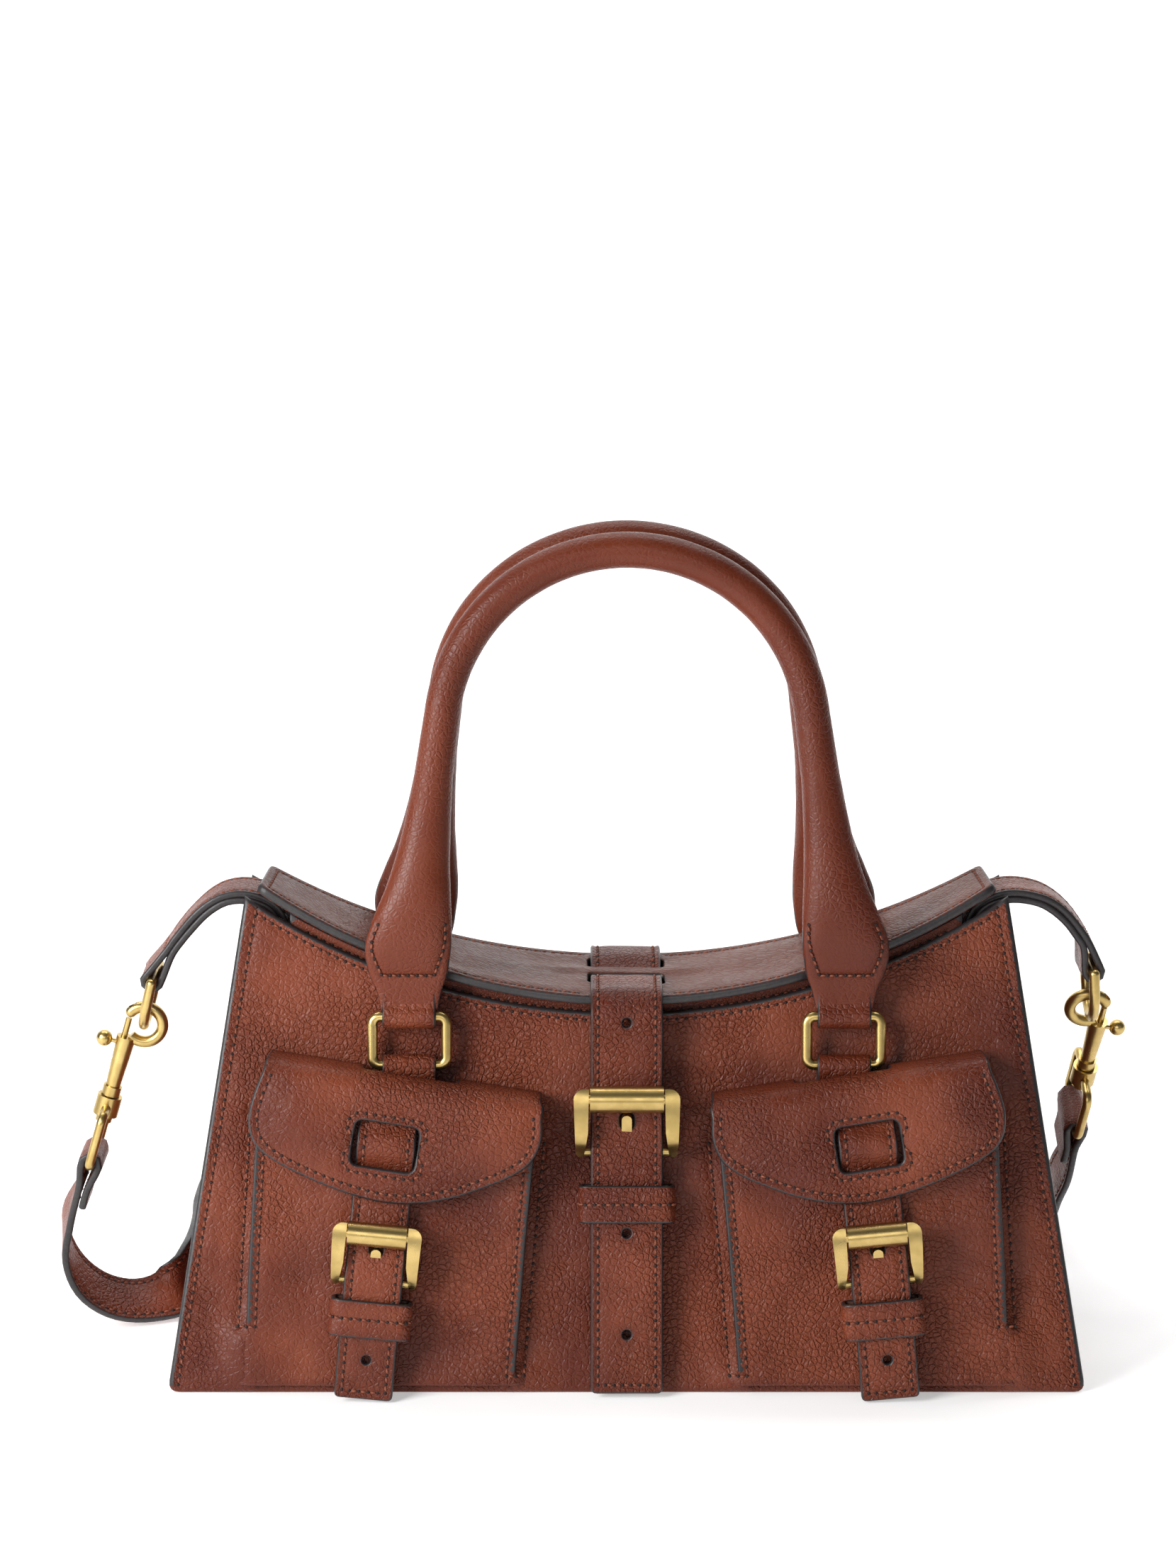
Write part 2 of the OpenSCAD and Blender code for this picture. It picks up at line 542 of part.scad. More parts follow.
// each side: loop at the end of the tab, lean of the D-ring, lean of the hook
bar_left = [161.8, 130];
bar_right = [159.4, 133.4];
d_lean_left = 13;
d_lean_right = 2.5;
hook_lean_left = 16.4;
hook_lean_right = -6;
hook_back_left = 0;
hook_back_right = 27;
tab_left = [[115.5, 138], [116.4, 147], [118, 153], [121.4, 157.2], [126.4, 159.2], [132, 159.8],
    [138, 158.4], [144.5, 153.8], [151, 146.6], [156, 139.6], [160, 132.6]];
tab_right = [[115.5, 138], [116.4, 147], [118, 153], [121.4, 157.2], [126.4, 159.4], [133, 160.2],
    [141, 158.6], [147.6, 154.6], [153, 148.6], [157, 142.2], [158.8, 136.4]];
module side_tab(p, bar) difference() {
  union() {
    rotate([90, 0, 0]) translate([0, 0, -10]) linear_extrude(20) strip(smooth(p, 3), 4);
    translate([bar[0], 0, bar[1]]) rotate([90, 0, 0]) cylinder(r = 4.2, h = 20, center = true, $fn = 48);
  }
  translate([bar[0], 0, bar[1]]) rotate([90, 0, 0])
      cylinder(r = wire_r + 0.08, h = 22, center = true, $fn = 48);
}
module side_tab_left() color([0.45, 0.2, 0.11]) left() side_tab(tab_left, bar_left);
module side_tab_right() color([0.45, 0.2, 0.11]) side_tab(tab_right, bar_right);

// the D-ring hangs from its bar; its own frame has the bar at the origin
module d_ring() {
  rotate([90, 0, 0]) cylinder(r = wire_r, h = 2 * d_r, center = true, $fn = 48);
  for (s = [-1, 1]) translate([0, s * d_r, 0]) sphere(r = wire_r, $fn = 48);
  for (s = [-1, 1]) translate([0, s * d_r, -d_leg]) cylinder(r = wire_r, h = d_leg, $fn = 48);
  translate([0, 0, -d_leg]) rotate([90, 0, 90]) rotate([0, 0, 180])
      rotate_extrude(angle = 180, $fn = 96) translate([d_r, 0]) circle(r = wire_r, $fn = 32);
}
module at_bar(bar, a) translate([bar[0], 0, bar[1]]) rotate([0, -a, 0]) children();
module d_ring_left() color(brass) left() at_bar(bar_left, d_lean_left) d_ring();
module d_ring_right() color(brass) at_bar(bar_right, d_lean_right) d_ring();

// the hook hangs with its head ring round the D-ring; its own frame has the middle of the head at the origin
head_drop = 0.5;
module at_head(bar, da, ha, ba) at_bar(bar, da) translate([0, 0, -d_leg]) rotate([ba, 0, 0])
    translate([0, 0, -d_r])
  rotate([0, da - ha, 0]) translate([0, 0, -head_drop]) children();
module hook() difference() {
  union() {
    rotate([90, 0, 0]) rotate([0, 0, 30]) rotate_extrude(angle = 275, $fn = 96)
        translate([head_r, 0]) circle(r = hook_r, $fn = 32);
    translate([head_r * cos(30), 0, head_r * sin(30)]) sphere(r = hook_r, $fn = 32);
    translate([shank_x, 0, -24.8]) cylinder(r1 = 2.5, r2 = 3.4, h = 18.8, $fn = 48);
    translate([shank_x, 0, -27.8]) cylinder(r = 3.2, h = 3.4, $fn = 48);
    translate([shank_x, 0, -35.8]) cylinder(r = 1.6, h = 9, $fn = 48);
    translate([shank_x, 0, -37.6]) cylinder(r = 2.8, h = 2, $fn = 48);
  }
  translate([shank_x + 0.8, 0, -17]) cylinder(r = 1.2, h = 24, $fn = 32);
  translate([shank_x + 0.8, -1, -15.4]) cube([6, 2, 8]);
}
module bolt() {
  translate([shank_x + 0.8, 0, -11.5]) cylinder(r = 1.1, h = 12.3, $fn = 32);
  translate([shank_x + 0.8, 0, -8.6]) rotate([0, 90, 0]) cylinder(r = 0.8, h = 5, $fn = 32);
  translate([shank_x + 7.2, 0, -8.6]) sphere(r = 2.8, $fn = 48);
}
module swivel() difference() {
  union() {
    translate([shank_x, 0, -35.2]) cylinder(r = 4.3, h = 7.1, $fn = 48);
    translate([shank_x, 0, eye_top]) rotate([90, 0, 0])
        cylinder(r = 1.6, h = 20, center = true, $fn = 32);
    translate([shank_x, 0, eye_low]) rotate([90, 0, 0])
        cylinder(r = 1.6, h = 20, center = true, $fn = 32);
    for (s = [-1, 1]) translate([shank_x, s * 13, eye_low + 3])
        cylinder(r = 1.6, h = eye_top - eye_low - 6, $fn = 32);
    for (s = [0, 1], t = [0, 1]) mirror([0, s, 0])
        translate([shank_x, 10, t == 0 ? eye_top - 3 : eye_low + 3]) rotate([90, 0, 90])
        rotate([0, 0, -90 * t])
      rotate_extrude(angle = 90, $fn = 48) translate([3, 0]) circle(r = 1.6, $fn = 32);
  }
  translate([shank_x, 0, -37]) cylinder(r = 1.66, h = 12, $fn = 48);
}
module hook_left() color(brass) left() at_head(bar_left, d_lean_left, hook_lean_left,
    hook_back_left) hook();
module bolt_left() color(brass) left() at_head(bar_left, d_lean_left, hook_lean_left,
    hook_back_left) bolt();
module swivel_left() color(brass) left() at_head(bar_left, d_lean_left, hook_lean_left,
    hook_back_left) swivel();
module hook_right() color(brass) at_head(bar_right, d_lean_right, hook_lean_right,
    hook_back_right) hook();
module bolt_right() color(brass) at_head(bar_right, d_lean_right, hook_lean_right,
    hook_back_right) bolt();
module swivel_right() color(brass) at_head(bar_right, d_lean_right, hook_lean_right,
    hook_back_right) swivel();

// ---- shoulder strap ----

// a point or a direction of the hook's own frame, seen from the bag
function turn_x(p, a) = [p[0], p[1] * cos(a) - p[2] * sin(a), p[1] * sin(a) + p[2] * cos(a)];
function turn_y(p, a) = [p[0] * cos(a) + p[2] * sin(a), p[1], p[2] * cos(a) - p[0] * sin(a)];
function hung(p, bar, da, ha, ba) =
  turn_y(turn_x(turn_y(p - [0, 0, head_drop], da - ha) - [0, 0, d_r], ba) - [0, 0, d_leg],
      -da) + [bar[0], 0, bar[1]];
function hung_way(p, da, ha, ba) = turn_y(turn_x(turn_y(p, da - ha), ba), -da);
function flip(p) = [-p[0], p[1], p[2]];
// the folded end of the strap, over the lower bar of the swivel: out from the bar, up from it
fold_end = [[-1.4, -17], [-1.4, -9.5], [-2.7, -3.2], [-3.1, 0], [-2.2, 2.2], [0, 3.1], [2.2, 2.2],
    [3.1, 0], [2.7, -3.2], [1.5, -9.5]];
end_left = [for (p = fold_end) [
  flip(hung([shank_x + p[0], 0, eye_low + p[1]], bar_left, d_lean_left, hook_lean_left,
      hook_back_left)), [0, 1, 0]]];
end_right = [for (i = [len(fold_end) - 1 : -1 : 0]) let (p = fold_end[i]) [
  hung([shank_x + p[0], 0, eye_low + p[1]], bar_right, d_lean_right, hook_lean_right, hook_back_right),
  hung_way([0, 1, 0], d_lean_right, hook_lean_right, hook_back_right)]];
// middle of the strap and the direction across it, from the left hook round behind the bag to the right hook
route = concat(end_left, [
  [[-194.6, 0.7, 42], [-0.2, 1, 0.08]], [[-195.6, 1.8, 29.6], [-0.08, 1, 0.18]],
      [[-191, 3.5, 17.9], [0, 0.95, 0.3]],
  [[-182.2, 6.3, 9.9], [0, 0.93, 0.36]], [[-171, 10.2, 6.6], [0, 0.92, 0.42]],
      [[-159.6, 15, 8.5], [-0.2, 0.7, 0.7]],
  [[-157.5, 27, 11.4], [0, 0.2, 1]], [[-157.4, 42, 11.4], [0.1, 0, 1]],
  [[-157.6, 58, 11.2], [0.1, 0, 1]], [[-158, 80, 11.2], [0, 0, 1]],
  [[-156.5, 112, 11.2], [0, 0.1, 1]], [[-149, 156, 11.2], [0, 0.2, 1]],
  [[-128, 194, 11.2], [0, 0.2, 1]], [[-94, 222, 11.2], [0, 0.2, 1]], [[-50, 237, 11.2], [0, 0.2, 1]],
  [[0, 240, 11.2], [0, 0.2, 1]], [[50, 235, 11.2], [0, 0.2, 1]], [[96, 219, 11.2], [0, 0.2, 1]],
  [[132, 191, 11.2], [0, 0.1, 1]], [[151, 152, 11.4], [0, 0, 1]], [[156, 112, 13], [0, 0.1, 1]],
  [[157, 77, 18], [0, 0.25, 1]], [[156.4, 62, 26.6], [0, 0.5, 0.85]], [[157, 50, 38], [0, 0.72, 0.7]],
  [[159, 42, 48], [0, 0.85, 0.55]]
], end_right);
sweep = smooth([for (r = route) concat(r[0], r[1])], 2);
function spot(i) = [sweep[i][0], sweep[i][1], sweep[i][2]];
function way(i) = unit(spot(min(len(sweep) - 1, i + 1)) - spot(max(0, i - 1)));
function wide(i) = let (a = [sweep[i][3], sweep[i][4], sweep[i][5]], t = way(i)) unit(a - t * (a * t));
cut = [[-1, -0.3], [-0.96, -0.5], [0.96, -0.5], [1, -0.3], [1, 0.3], [0.96, 0.5], [-0.96, 0.5],
    [-1, 0.3]];
module strap_body() {
  m = len(sweep);
  n = len(cut);
  polyhedron([for (i = [0 : m - 1]) let (c = spot(i), a = wide(i),
      b = cross(way(i), wide(i))) each [for (q = cut) c + a * q[0] * sling_w / 2 + b * q[1] * sling_t]],
    concat([for (i = [0 : m - 2], k = [0 : n - 1])
        let (j = (k + 1) % n) [i * n + k, (i + 1) * n + k, (i + 1) * n + j, i * n + j]],
    [[for (k = [0 : n - 1]) k], [for (k = [n - 1 : -1 : 0]) (m - 1) * n + k]]));
}
module shoulder_strap() color([0.46, 0.2, 0.11]) strap_body();

front_panel();
back_panel();
gusset_left();
gusset_right();
base_panel();
base_board();
front_facing();
back_facing();
lining();
lid();
rear_strap();
centre_strap();
centre_buckle_frame();
centre_roller();
centre_prong();
centre_chape();
centre_keeper();
centre_magnet();
centre_magnet_plate();
pocket_left();
flap_root_left();
flap_left();
pocket_strap_left();
buckle_frame_left();
roller_left();
prong_left();
chape_left();
keeper_left();
magnet_left();
pocket_right();
flap_root_right();
flap_right();
pocket_strap_right();
buckle_frame_right();
roller_right();
prong_right();
chape_right();
keeper_right();
magnet_right();
ring_tabs_front();
ring_tabs_back();
ring_front_left();
ring_front_right();
ring_back_left();
ring_back_right();
handle_front();
handle_back();
handle_core_front();
handle_core_back();
side_tab_left();
side_tab_right();
d_ring_left();
d_ring_right();
hook_left();
bolt_left();
swivel_left();
hook_right();
bolt_right();
swivel_right();
shoulder_strap();
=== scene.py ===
import math

import bpy
import bmesh
import numpy as np
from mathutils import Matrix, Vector, noise
from mathutils.geometry import delaunay_2d_cdt

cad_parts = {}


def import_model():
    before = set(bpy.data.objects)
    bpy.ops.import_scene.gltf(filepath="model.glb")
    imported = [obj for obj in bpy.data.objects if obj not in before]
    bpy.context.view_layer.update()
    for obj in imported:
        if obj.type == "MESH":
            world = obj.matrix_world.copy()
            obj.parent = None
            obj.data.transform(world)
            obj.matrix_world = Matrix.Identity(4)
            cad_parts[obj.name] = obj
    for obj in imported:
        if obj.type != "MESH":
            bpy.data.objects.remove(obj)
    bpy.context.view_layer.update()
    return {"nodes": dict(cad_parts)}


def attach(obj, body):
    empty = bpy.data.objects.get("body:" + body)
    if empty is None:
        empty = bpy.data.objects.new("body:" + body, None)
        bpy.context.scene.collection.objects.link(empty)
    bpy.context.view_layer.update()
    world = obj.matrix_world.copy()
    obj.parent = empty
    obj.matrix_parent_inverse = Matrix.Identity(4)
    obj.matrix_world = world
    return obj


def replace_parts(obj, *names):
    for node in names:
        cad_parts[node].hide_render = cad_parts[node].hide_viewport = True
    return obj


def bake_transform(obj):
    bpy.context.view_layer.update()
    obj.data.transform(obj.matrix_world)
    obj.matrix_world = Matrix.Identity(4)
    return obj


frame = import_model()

# A leather satchel bag. Sizes are in millimetres until a mesh is made, in the frame of part.scad:
# X is left to right, Y is front to back, Z is up, and the bag stands on Z = 0.
MM = 0.001


# ---- camera ----

camera = bpy.data.objects.new("camera", bpy.data.cameras.new("camera"))
bpy.context.collection.objects.link(camera)
bpy.context.scene.camera = camera
PITCH = math.radians(13.5)
AIM = Vector((-0.013, 0, 0.1972))
DISTANCE = 1.25
camera.rotation_euler = (math.pi / 2 - PITCH, 0, 0)
camera.location = AIM + DISTANCE * Vector((0, -math.cos(PITCH), math.sin(PITCH)))
camera.data.lens = 84.53
camera.data.sensor_width = 36
camera.data.clip_start = 0.05


# ---- places ----

BASE_W, BASE_D, TOP_W, TOP_D, CORNER_H, RIM_DIP = 310, 116, 258, 30, 162, 38
LEATHER = 2.6
LEAN = math.atan((BASE_D - TOP_D) / 2 / CORNER_H)
SIDE_LEAN = math.atan((BASE_W - TOP_W) / 2 / CORNER_H)
SL, CL = math.sin(LEAN), math.cos(LEAN)
CORNER_V = CORNER_H / CL
RIM_V = (CORNER_H - RIM_DIP) / CL
RIM_R = ((TOP_W / 2) ** 2 + (CORNER_V - RIM_V) ** 2) / 2 / (CORNER_V - RIM_V)
RIM_RZ = ((TOP_W / 2) ** 2 + RIM_DIP ** 2) / 2 / RIM_DIP
RIM_ZC = CORNER_H - RIM_DIP + RIM_RZ
FACING_UP, FACING_DOWN, FACING_T, GAP = 3, 26, 1.7, 0.3
LID_T = 3.2
LID_Z = CORNER_H - RIM_DIP + FACING_UP + GAP + LID_T
FACE_V, FACE_W, FACE_TILT = 4, 3.5, 4.6
FOLD_U, FOLD_V, FOLD_A, FLAP_W = 28.3, 98.7, 9, 4.5
STRAP_U, STRAP_TILT = 88.4, 5.4
RING_U, RING_V, RING_OUT, RING_A = 73, 110.8, 4.2, 6.3
RING_H, WIRE = 20, 1.8
HANDLE_LEAN = 7.2


def turn(points, axis, degrees):
    a = math.radians(degrees)
    i, j = {"x": (1, 2), "y": (2, 0), "z": (0, 1)}[axis]
    out = np.array(points, float)
    p, q = out[..., i].copy(), out[..., j].copy()
    out[..., i] = p * math.cos(a) - q * math.sin(a)
    out[..., j] = p * math.sin(a) + q * math.cos(a)
    return out


def world(points):
    return points


def panel(points):
    """Across the front panel, up it, and out of it."""
    u, v, w = np.asarray(points, float).T
    return np.column_stack([u, -BASE_D / 2 + v * SL - w * CL, v * CL + w * SL])


def face(points):
    return panel(turn(points, "x", FACE_TILT) + (0, FACE_V, FACE_W))


def fold(points):
    return face(turn(points, "z", FOLD_A) + (FOLD_U, FOLD_V - FACE_V, FLAP_W))


def down_strap(points):
    return face(turn(points, "z", STRAP_TILT) + (STRAP_U, -5, 0))


def mirror(place, x=1, y=1):
    return lambda points: place(points) * (x, y, 1)


RING_TOP = panel([[0, RING_V + (RING_H - 2 * WIRE) * math.cos(math.radians(RING_A)),
                   RING_OUT + (RING_H - 2 * WIRE) * math.sin(math.radians(RING_A))]])[0]


def on_handle(points):
    return turn(points, "x", -HANDLE_LEAN) + (0, RING_TOP[1], RING_TOP[2])


# ---- lines ----

def smooth(points, n=8, closed=False):
    """A curve through the points."""
    p = np.asarray(points, float)
    count = len(p)
    rows = []
    for i in range(count if closed else count - 1):
        a, b, c, d = (p[k % count] if closed else p[min(max(k, 0), count - 1)]
                      for k in (i - 1, i, i + 1, i + 2))
        for t in np.arange(n) / n:
            rows.append(0.5 * (2 * b + (c - a) * t + (2 * a - 5 * b + 4 * c - d) * t * t
                               + (3 * b - a - 3 * c + d) * t ** 3))
    if not closed:
        rows.append(p[-1])
    return np.array(rows)


class Track:
    """A line that a strip follows, measured along itself."""

    def __init__(self, points, n=10, closed=False):
        self.p = smooth(points, n, closed)
        if closed:
            self.p = np.vstack([self.p, self.p[:1]])
        self.s = np.concatenate([[0], np.cumsum(np.linalg.norm(np.diff(self.p, axis=0)[:, :3], axis=1))])
        self.length = self.s[-1]
        self.t = np.gradient(self.p, self.s, axis=0)
        if closed:
            self.t[0] = self.t[-1] = (self.t[0] + self.t[-1]) / 2

    def at(self, s, what=None):
        what = self.p if what is None else what
        return np.column_stack([np.interp(s, self.s, c) for c in what.T])

    def where(self, value, column=0, last=False):
        """How far along the line a coordinate has this value."""
        d = self.p[:, column] - value
        hits = [i for i in range(len(d) - 1) if d[i] * d[i + 1] <= 0 and d[i] != d[i + 1]]
        i = hits[-1 if last else 0]
        return self.s[i] + (self.s[i + 1] - self.s[i]) * d[i] / (d[i] - d[i + 1])


def along(track, base, side=1):
    """Place a strip (across, along, out) on a track in the plane of the last two coordinates of base."""
    def place(points):
        points = np.asarray(points, float)
        p, t = track.at(points[:, 1]), track.at(points[:, 1], track.t)
        t = t / np.linalg.norm(t, axis=1)[:, None]
        out = side * np.column_stack([-t[:, 1], t[:, 0]]) * points[:, 2:3]
        return base(np.column_stack([points[:, 0], p + out]))
    return place


ROUND_STEPS = 4


def rounded(corners, radius):
    """A closed outline with its corners rounded. One radius, or one for each corner."""
    p = np.asarray(corners, float)
    radii = [radius] * len(p) if np.isscalar(radius) else radius
    rows = []
    for i, q in enumerate(p):
        a, b = p[i - 1] - q, p[(i + 1) % len(p)] - q
        la, lb = np.linalg.norm(a), np.linalg.norm(b)
        r = min(radii[i], la / 2.1, lb / 2.1)
        if r <= 0:
            rows.append(q)
            continue
        a, b = q + a / la * r, q + b / lb * r
        for t in np.linspace(0, 1, ROUND_STEPS + 1):
            rows.append((1 - t) ** 2 * a + 2 * t * (1 - t) * q + t * t * b)
    return np.array(rows)


def split(loop, step, closed=True):
    """The same line with no segment longer than the step."""
    p = np.asarray(loop, float)
    ends = np.vstack([p, p[:1]]) if closed else p
    rows = []
    for a, b in zip(ends[:-1], ends[1:]):
        n = max(1, int(math.ceil(np.linalg.norm(b - a) / step)))
        rows += [a + (b - a) * k / n for k in range(n)]
    if not closed:
        rows.append(ends[-1])
    return np.array(rows)


def area(loop):
    x, y = loop.T
    return 0.5 * float(np.sum(x * np.roll(y, -1) - np.roll(x, -1) * y))


def inset(loop, d, closed=True):
    """The line moved to its left: inwards, for an outline that runs anticlockwise."""
    p = np.asarray(loop, float)
    back, on = np.roll(p, 1, 0), np.roll(p, -1, 0)
    if not closed:
        back[0] = 2 * p[0] - p[1]
        on[-1] = 2 * p[-1] - p[-2]
    a, b = p - back, on - p
    a /= np.maximum(np.linalg.norm(a, axis=1), 1e-9)[:, None]
    b /= np.maximum(np.linalg.norm(b, axis=1), 1e-9)[:, None]
    n = np.column_stack([-(a + b)[:, 1], (a + b)[:, 0]])
    n /= np.maximum(np.linalg.norm(n, axis=1), 1e-9)[:, None]
    cosine = np.maximum(n[:, 0] * -a[:, 1] + n[:, 1] * a[:, 0], 0.5)
    return p + n * (d / cosine)[:, None]


def distance(points, lines):
    """From each point to the nearest of the open lines."""
    a = np.vstack([l[:-1] for l in lines])
    b = np.vstack([l[1:] for l in lines])
    ab = b - a
    den = np.maximum((ab ** 2).sum(1), 1e-12)
    out = np.empty(len(points))
    for k in range(0, len(points), 1500):
        p = points[k:k + 1500, None, :]
        t = np.clip(((p - a) * ab).sum(2) / den, 0, 1)
        out[k:k + 1500] = np.sqrt((((a + t[..., None] * ab) - p) ** 2).sum(2).min(1))
    return out


def inside(points, loops):
    hit = np.zeros(len(points), bool)
    for loop in loops:
        a, b = loop, np.roll(loop, -1, 0)
        for (x0, y0), (x1, y1) in zip(a, b):
            if y0 == y1:
                continue
            cross = ((y0 > points[:, 1]) != (y1 > points[:, 1]))
            cross &= points[:, 0] < (x1 - x0) * (points[:, 1] - y0) / (y1 - y0) + x0
            hit ^= cross
    return hit


def ripple(points, size, seed=0.0):
    """Smooth noise, about -0.5 to 0.5, with bumps of this size."""
    return np.array([noise.noise(Vector((p[0] / size, p[1] / size, seed))) for p in points])


# ---- meshes ----

def make(name, verts, faces, materials, body=None, index=None, near=None):
    mesh = bpy.data.meshes.new(name)
    mesh.from_pydata([tuple(v) for v in np.asarray(verts) * MM], [],
                     [tuple(int(i) for i in f) for f in faces])
    for m in materials:
        mesh.materials.append(m)
    if index is not None:
        mesh.polygons.foreach_set("material_index", np.asarray(index, np.int32))
    if near is not None:
        mesh.attributes.new("near_edge", "FLOAT", "POINT").data.foreach_set("value",
            np.asarray(near, np.float32))
    bm = bmesh.new()
    bm.from_mesh(mesh)
    bmesh.ops.recalc_face_normals(bm, faces=bm.faces)
    bm.to_mesh(mesh)
    bm.free()
    mesh.polygons.foreach_set("use_smooth", np.ones(len(mesh.polygons), bool))
    mesh.update()
    thing = bpy.data.objects.new(name, mesh)
    bpy.context.collection.objects.link(thing)
    if body:
        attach(thing, body)
    return thing


EDGE_RINGS = (0.1, 0.35, 0.7, 1.0)
GROOVE_W, GROOVE_SIDE = 0.85, 1.0
MARGIN = 0.4  # of a step, kept free round edges and stitch lines


class Sheet:
    """Leather cut from a flat outline, with rounded painted edges, sunk stitch lines and real holes."""

    def __init__(self, name, outline, t, place, body=None, runs=(), holes=(), step=3.0, relief=None,
                 groove=0.45, edge=0.7, paint=0.6, fine=(), materials=None, slot="leather", bare=None):
        outline = np.asarray(outline, float)
        outline = outline if area(outline) > 0 else outline[::-1]
        loops = [split(outline, step)]
        for h in holes:
            h = np.asarray(h, float)
            loops.append(h if area(h) < 0 else h[::-1])
        self.t, self.place, self.edge, self.groove = t, place, edge, groove
        self.relief = relief or (lambda p: np.zeros(len(p)))
        self.rim = [np.vstack([l, l[:1]]) for l in loops]
        self.runs = [split(r, 2.5, False) for r in runs]
        lines = [(l, True) for l in loops]
        for l in loops:
            lines += [(inset(l, k * edge), True) for k in EDGE_RINGS]
        for r in self.runs:
            lines += [(inset(r, k, False) if k else r, False) for k in (-GROOVE_SIDE, 0, GROOVE_SIDE)]
        verts, edges = [], []
        for l, closed in lines:
            n, k = len(l), len(verts)
            verts += [Vector(p) for p in l]
            edges += [(k + i, k + (i + 1) % n) for i in range(n if closed else n - 1)]
        lo, hi = loops[0].min(0), loops[0].max(0)
        grid = []
        for r, y in enumerate(np.arange(lo[1], hi[1], step * 0.87)):
            grid += [(x, y) for x in np.arange(lo[0] + (r % 2) * step / 2, hi[0], step)]
        for y0, y1, gap in fine:
            grid += [(x, y) for y in np.arange(y0, y1, gap) for x in np.arange(lo[0], hi[0], step)]
        grid = np.array(grid)
        grid = grid[inside(grid, loops)]
        grid = grid[distance(grid, self.rim) > edge + MARGIN * step]
        if self.runs:
            grid = grid[distance(grid, self.runs) > GROOVE_SIDE + MARGIN * step]
        verts += [Vector(p) for p in grid]
        got = delaunay_2d_cdt(verts, edges, [], 0, 1e-4, False)
        flat = np.array([tuple(v) for v in got[0]])
        tris = np.array([f for f in got[2] if len(f) == 3])
        tris = tris[inside(flat[tris].mean(1), loops)]
        used, tris = np.unique(tris, return_inverse=True)
        flat, tris = flat[used], tris.reshape(-1, 3)
        d = distance(flat, self.rim)
        on_rim = d < 1e-3
        top = self.top(flat, d)
        low = self.bottom(flat, d)
        n = len(flat)
        under = np.full(n, -1)
        under[~on_rim] = n + np.arange((~on_rim).sum())
        under[on_rim] = np.where(on_rim)[0]
        points = np.vstack([np.column_stack([flat, top]), np.column_stack([flat, low])[~on_rim]])
        faces = np.vstack([tris, under[tris][:, ::-1]])
        c = d[tris].mean(1)
        dark = (c < paint) & ~(bare(flat[tris].mean(1)) if bare else np.zeros(len(c), bool))
        index = np.concatenate([np.where(dark, 2, 0), np.where(dark, 2, 1)])
        near = np.concatenate([d, d[~on_rim]])
        self.flat_area = area(loops[0]) + sum(area(l) for l in loops[1:])
        self.obj = make(name, place(points), faces, materials or [grained, flesh, painted], body,
                        index, np.clip(near / 12, 0, 1))
        self.threads = None
        if self.runs:
            self.threads = stitching(name + "_stitching", body, place, self.runs, self.top)

    def round_off(self, d):
        k = np.clip(d / self.edge, 0, 1)
        return np.sqrt(np.maximum(0, 1 - (1 - k) ** 2))

    def top(self, p, d=None):
        d = distance(p, self.rim) if d is None else d
        h = self.t / 2 * self.round_off(d) + self.relief(p)
        if self.runs:
            h = h - self.groove * np.exp(-(distance(p, self.runs) / GROOVE_W) ** 2)
        return h

    def bottom(self, p, d):
        return -self.t / 2 * self.round_off(d) + self.relief(p)

    def blend(self, *args):
        for thing in (self.obj, self.threads):
            if thing:
                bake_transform(thing)


# how far along the stitch, how high, and how thick the thread is there
STITCH = ((0.2, -0.5, 0.26), (0.29, 0.1, 0.36), (0.5, 0.26, 0.42), (0.71, 0.1, 0.36), (0.8, -0.5, 0.26))
THREAD_SLANT, THREAD_SIDES = 0.16, 6
# the holes are dark discs laid on the leather: painted shade where the thread goes in
HOLE_SHADE_R, HOLE_SHADE_ROUND = 0.6, 8


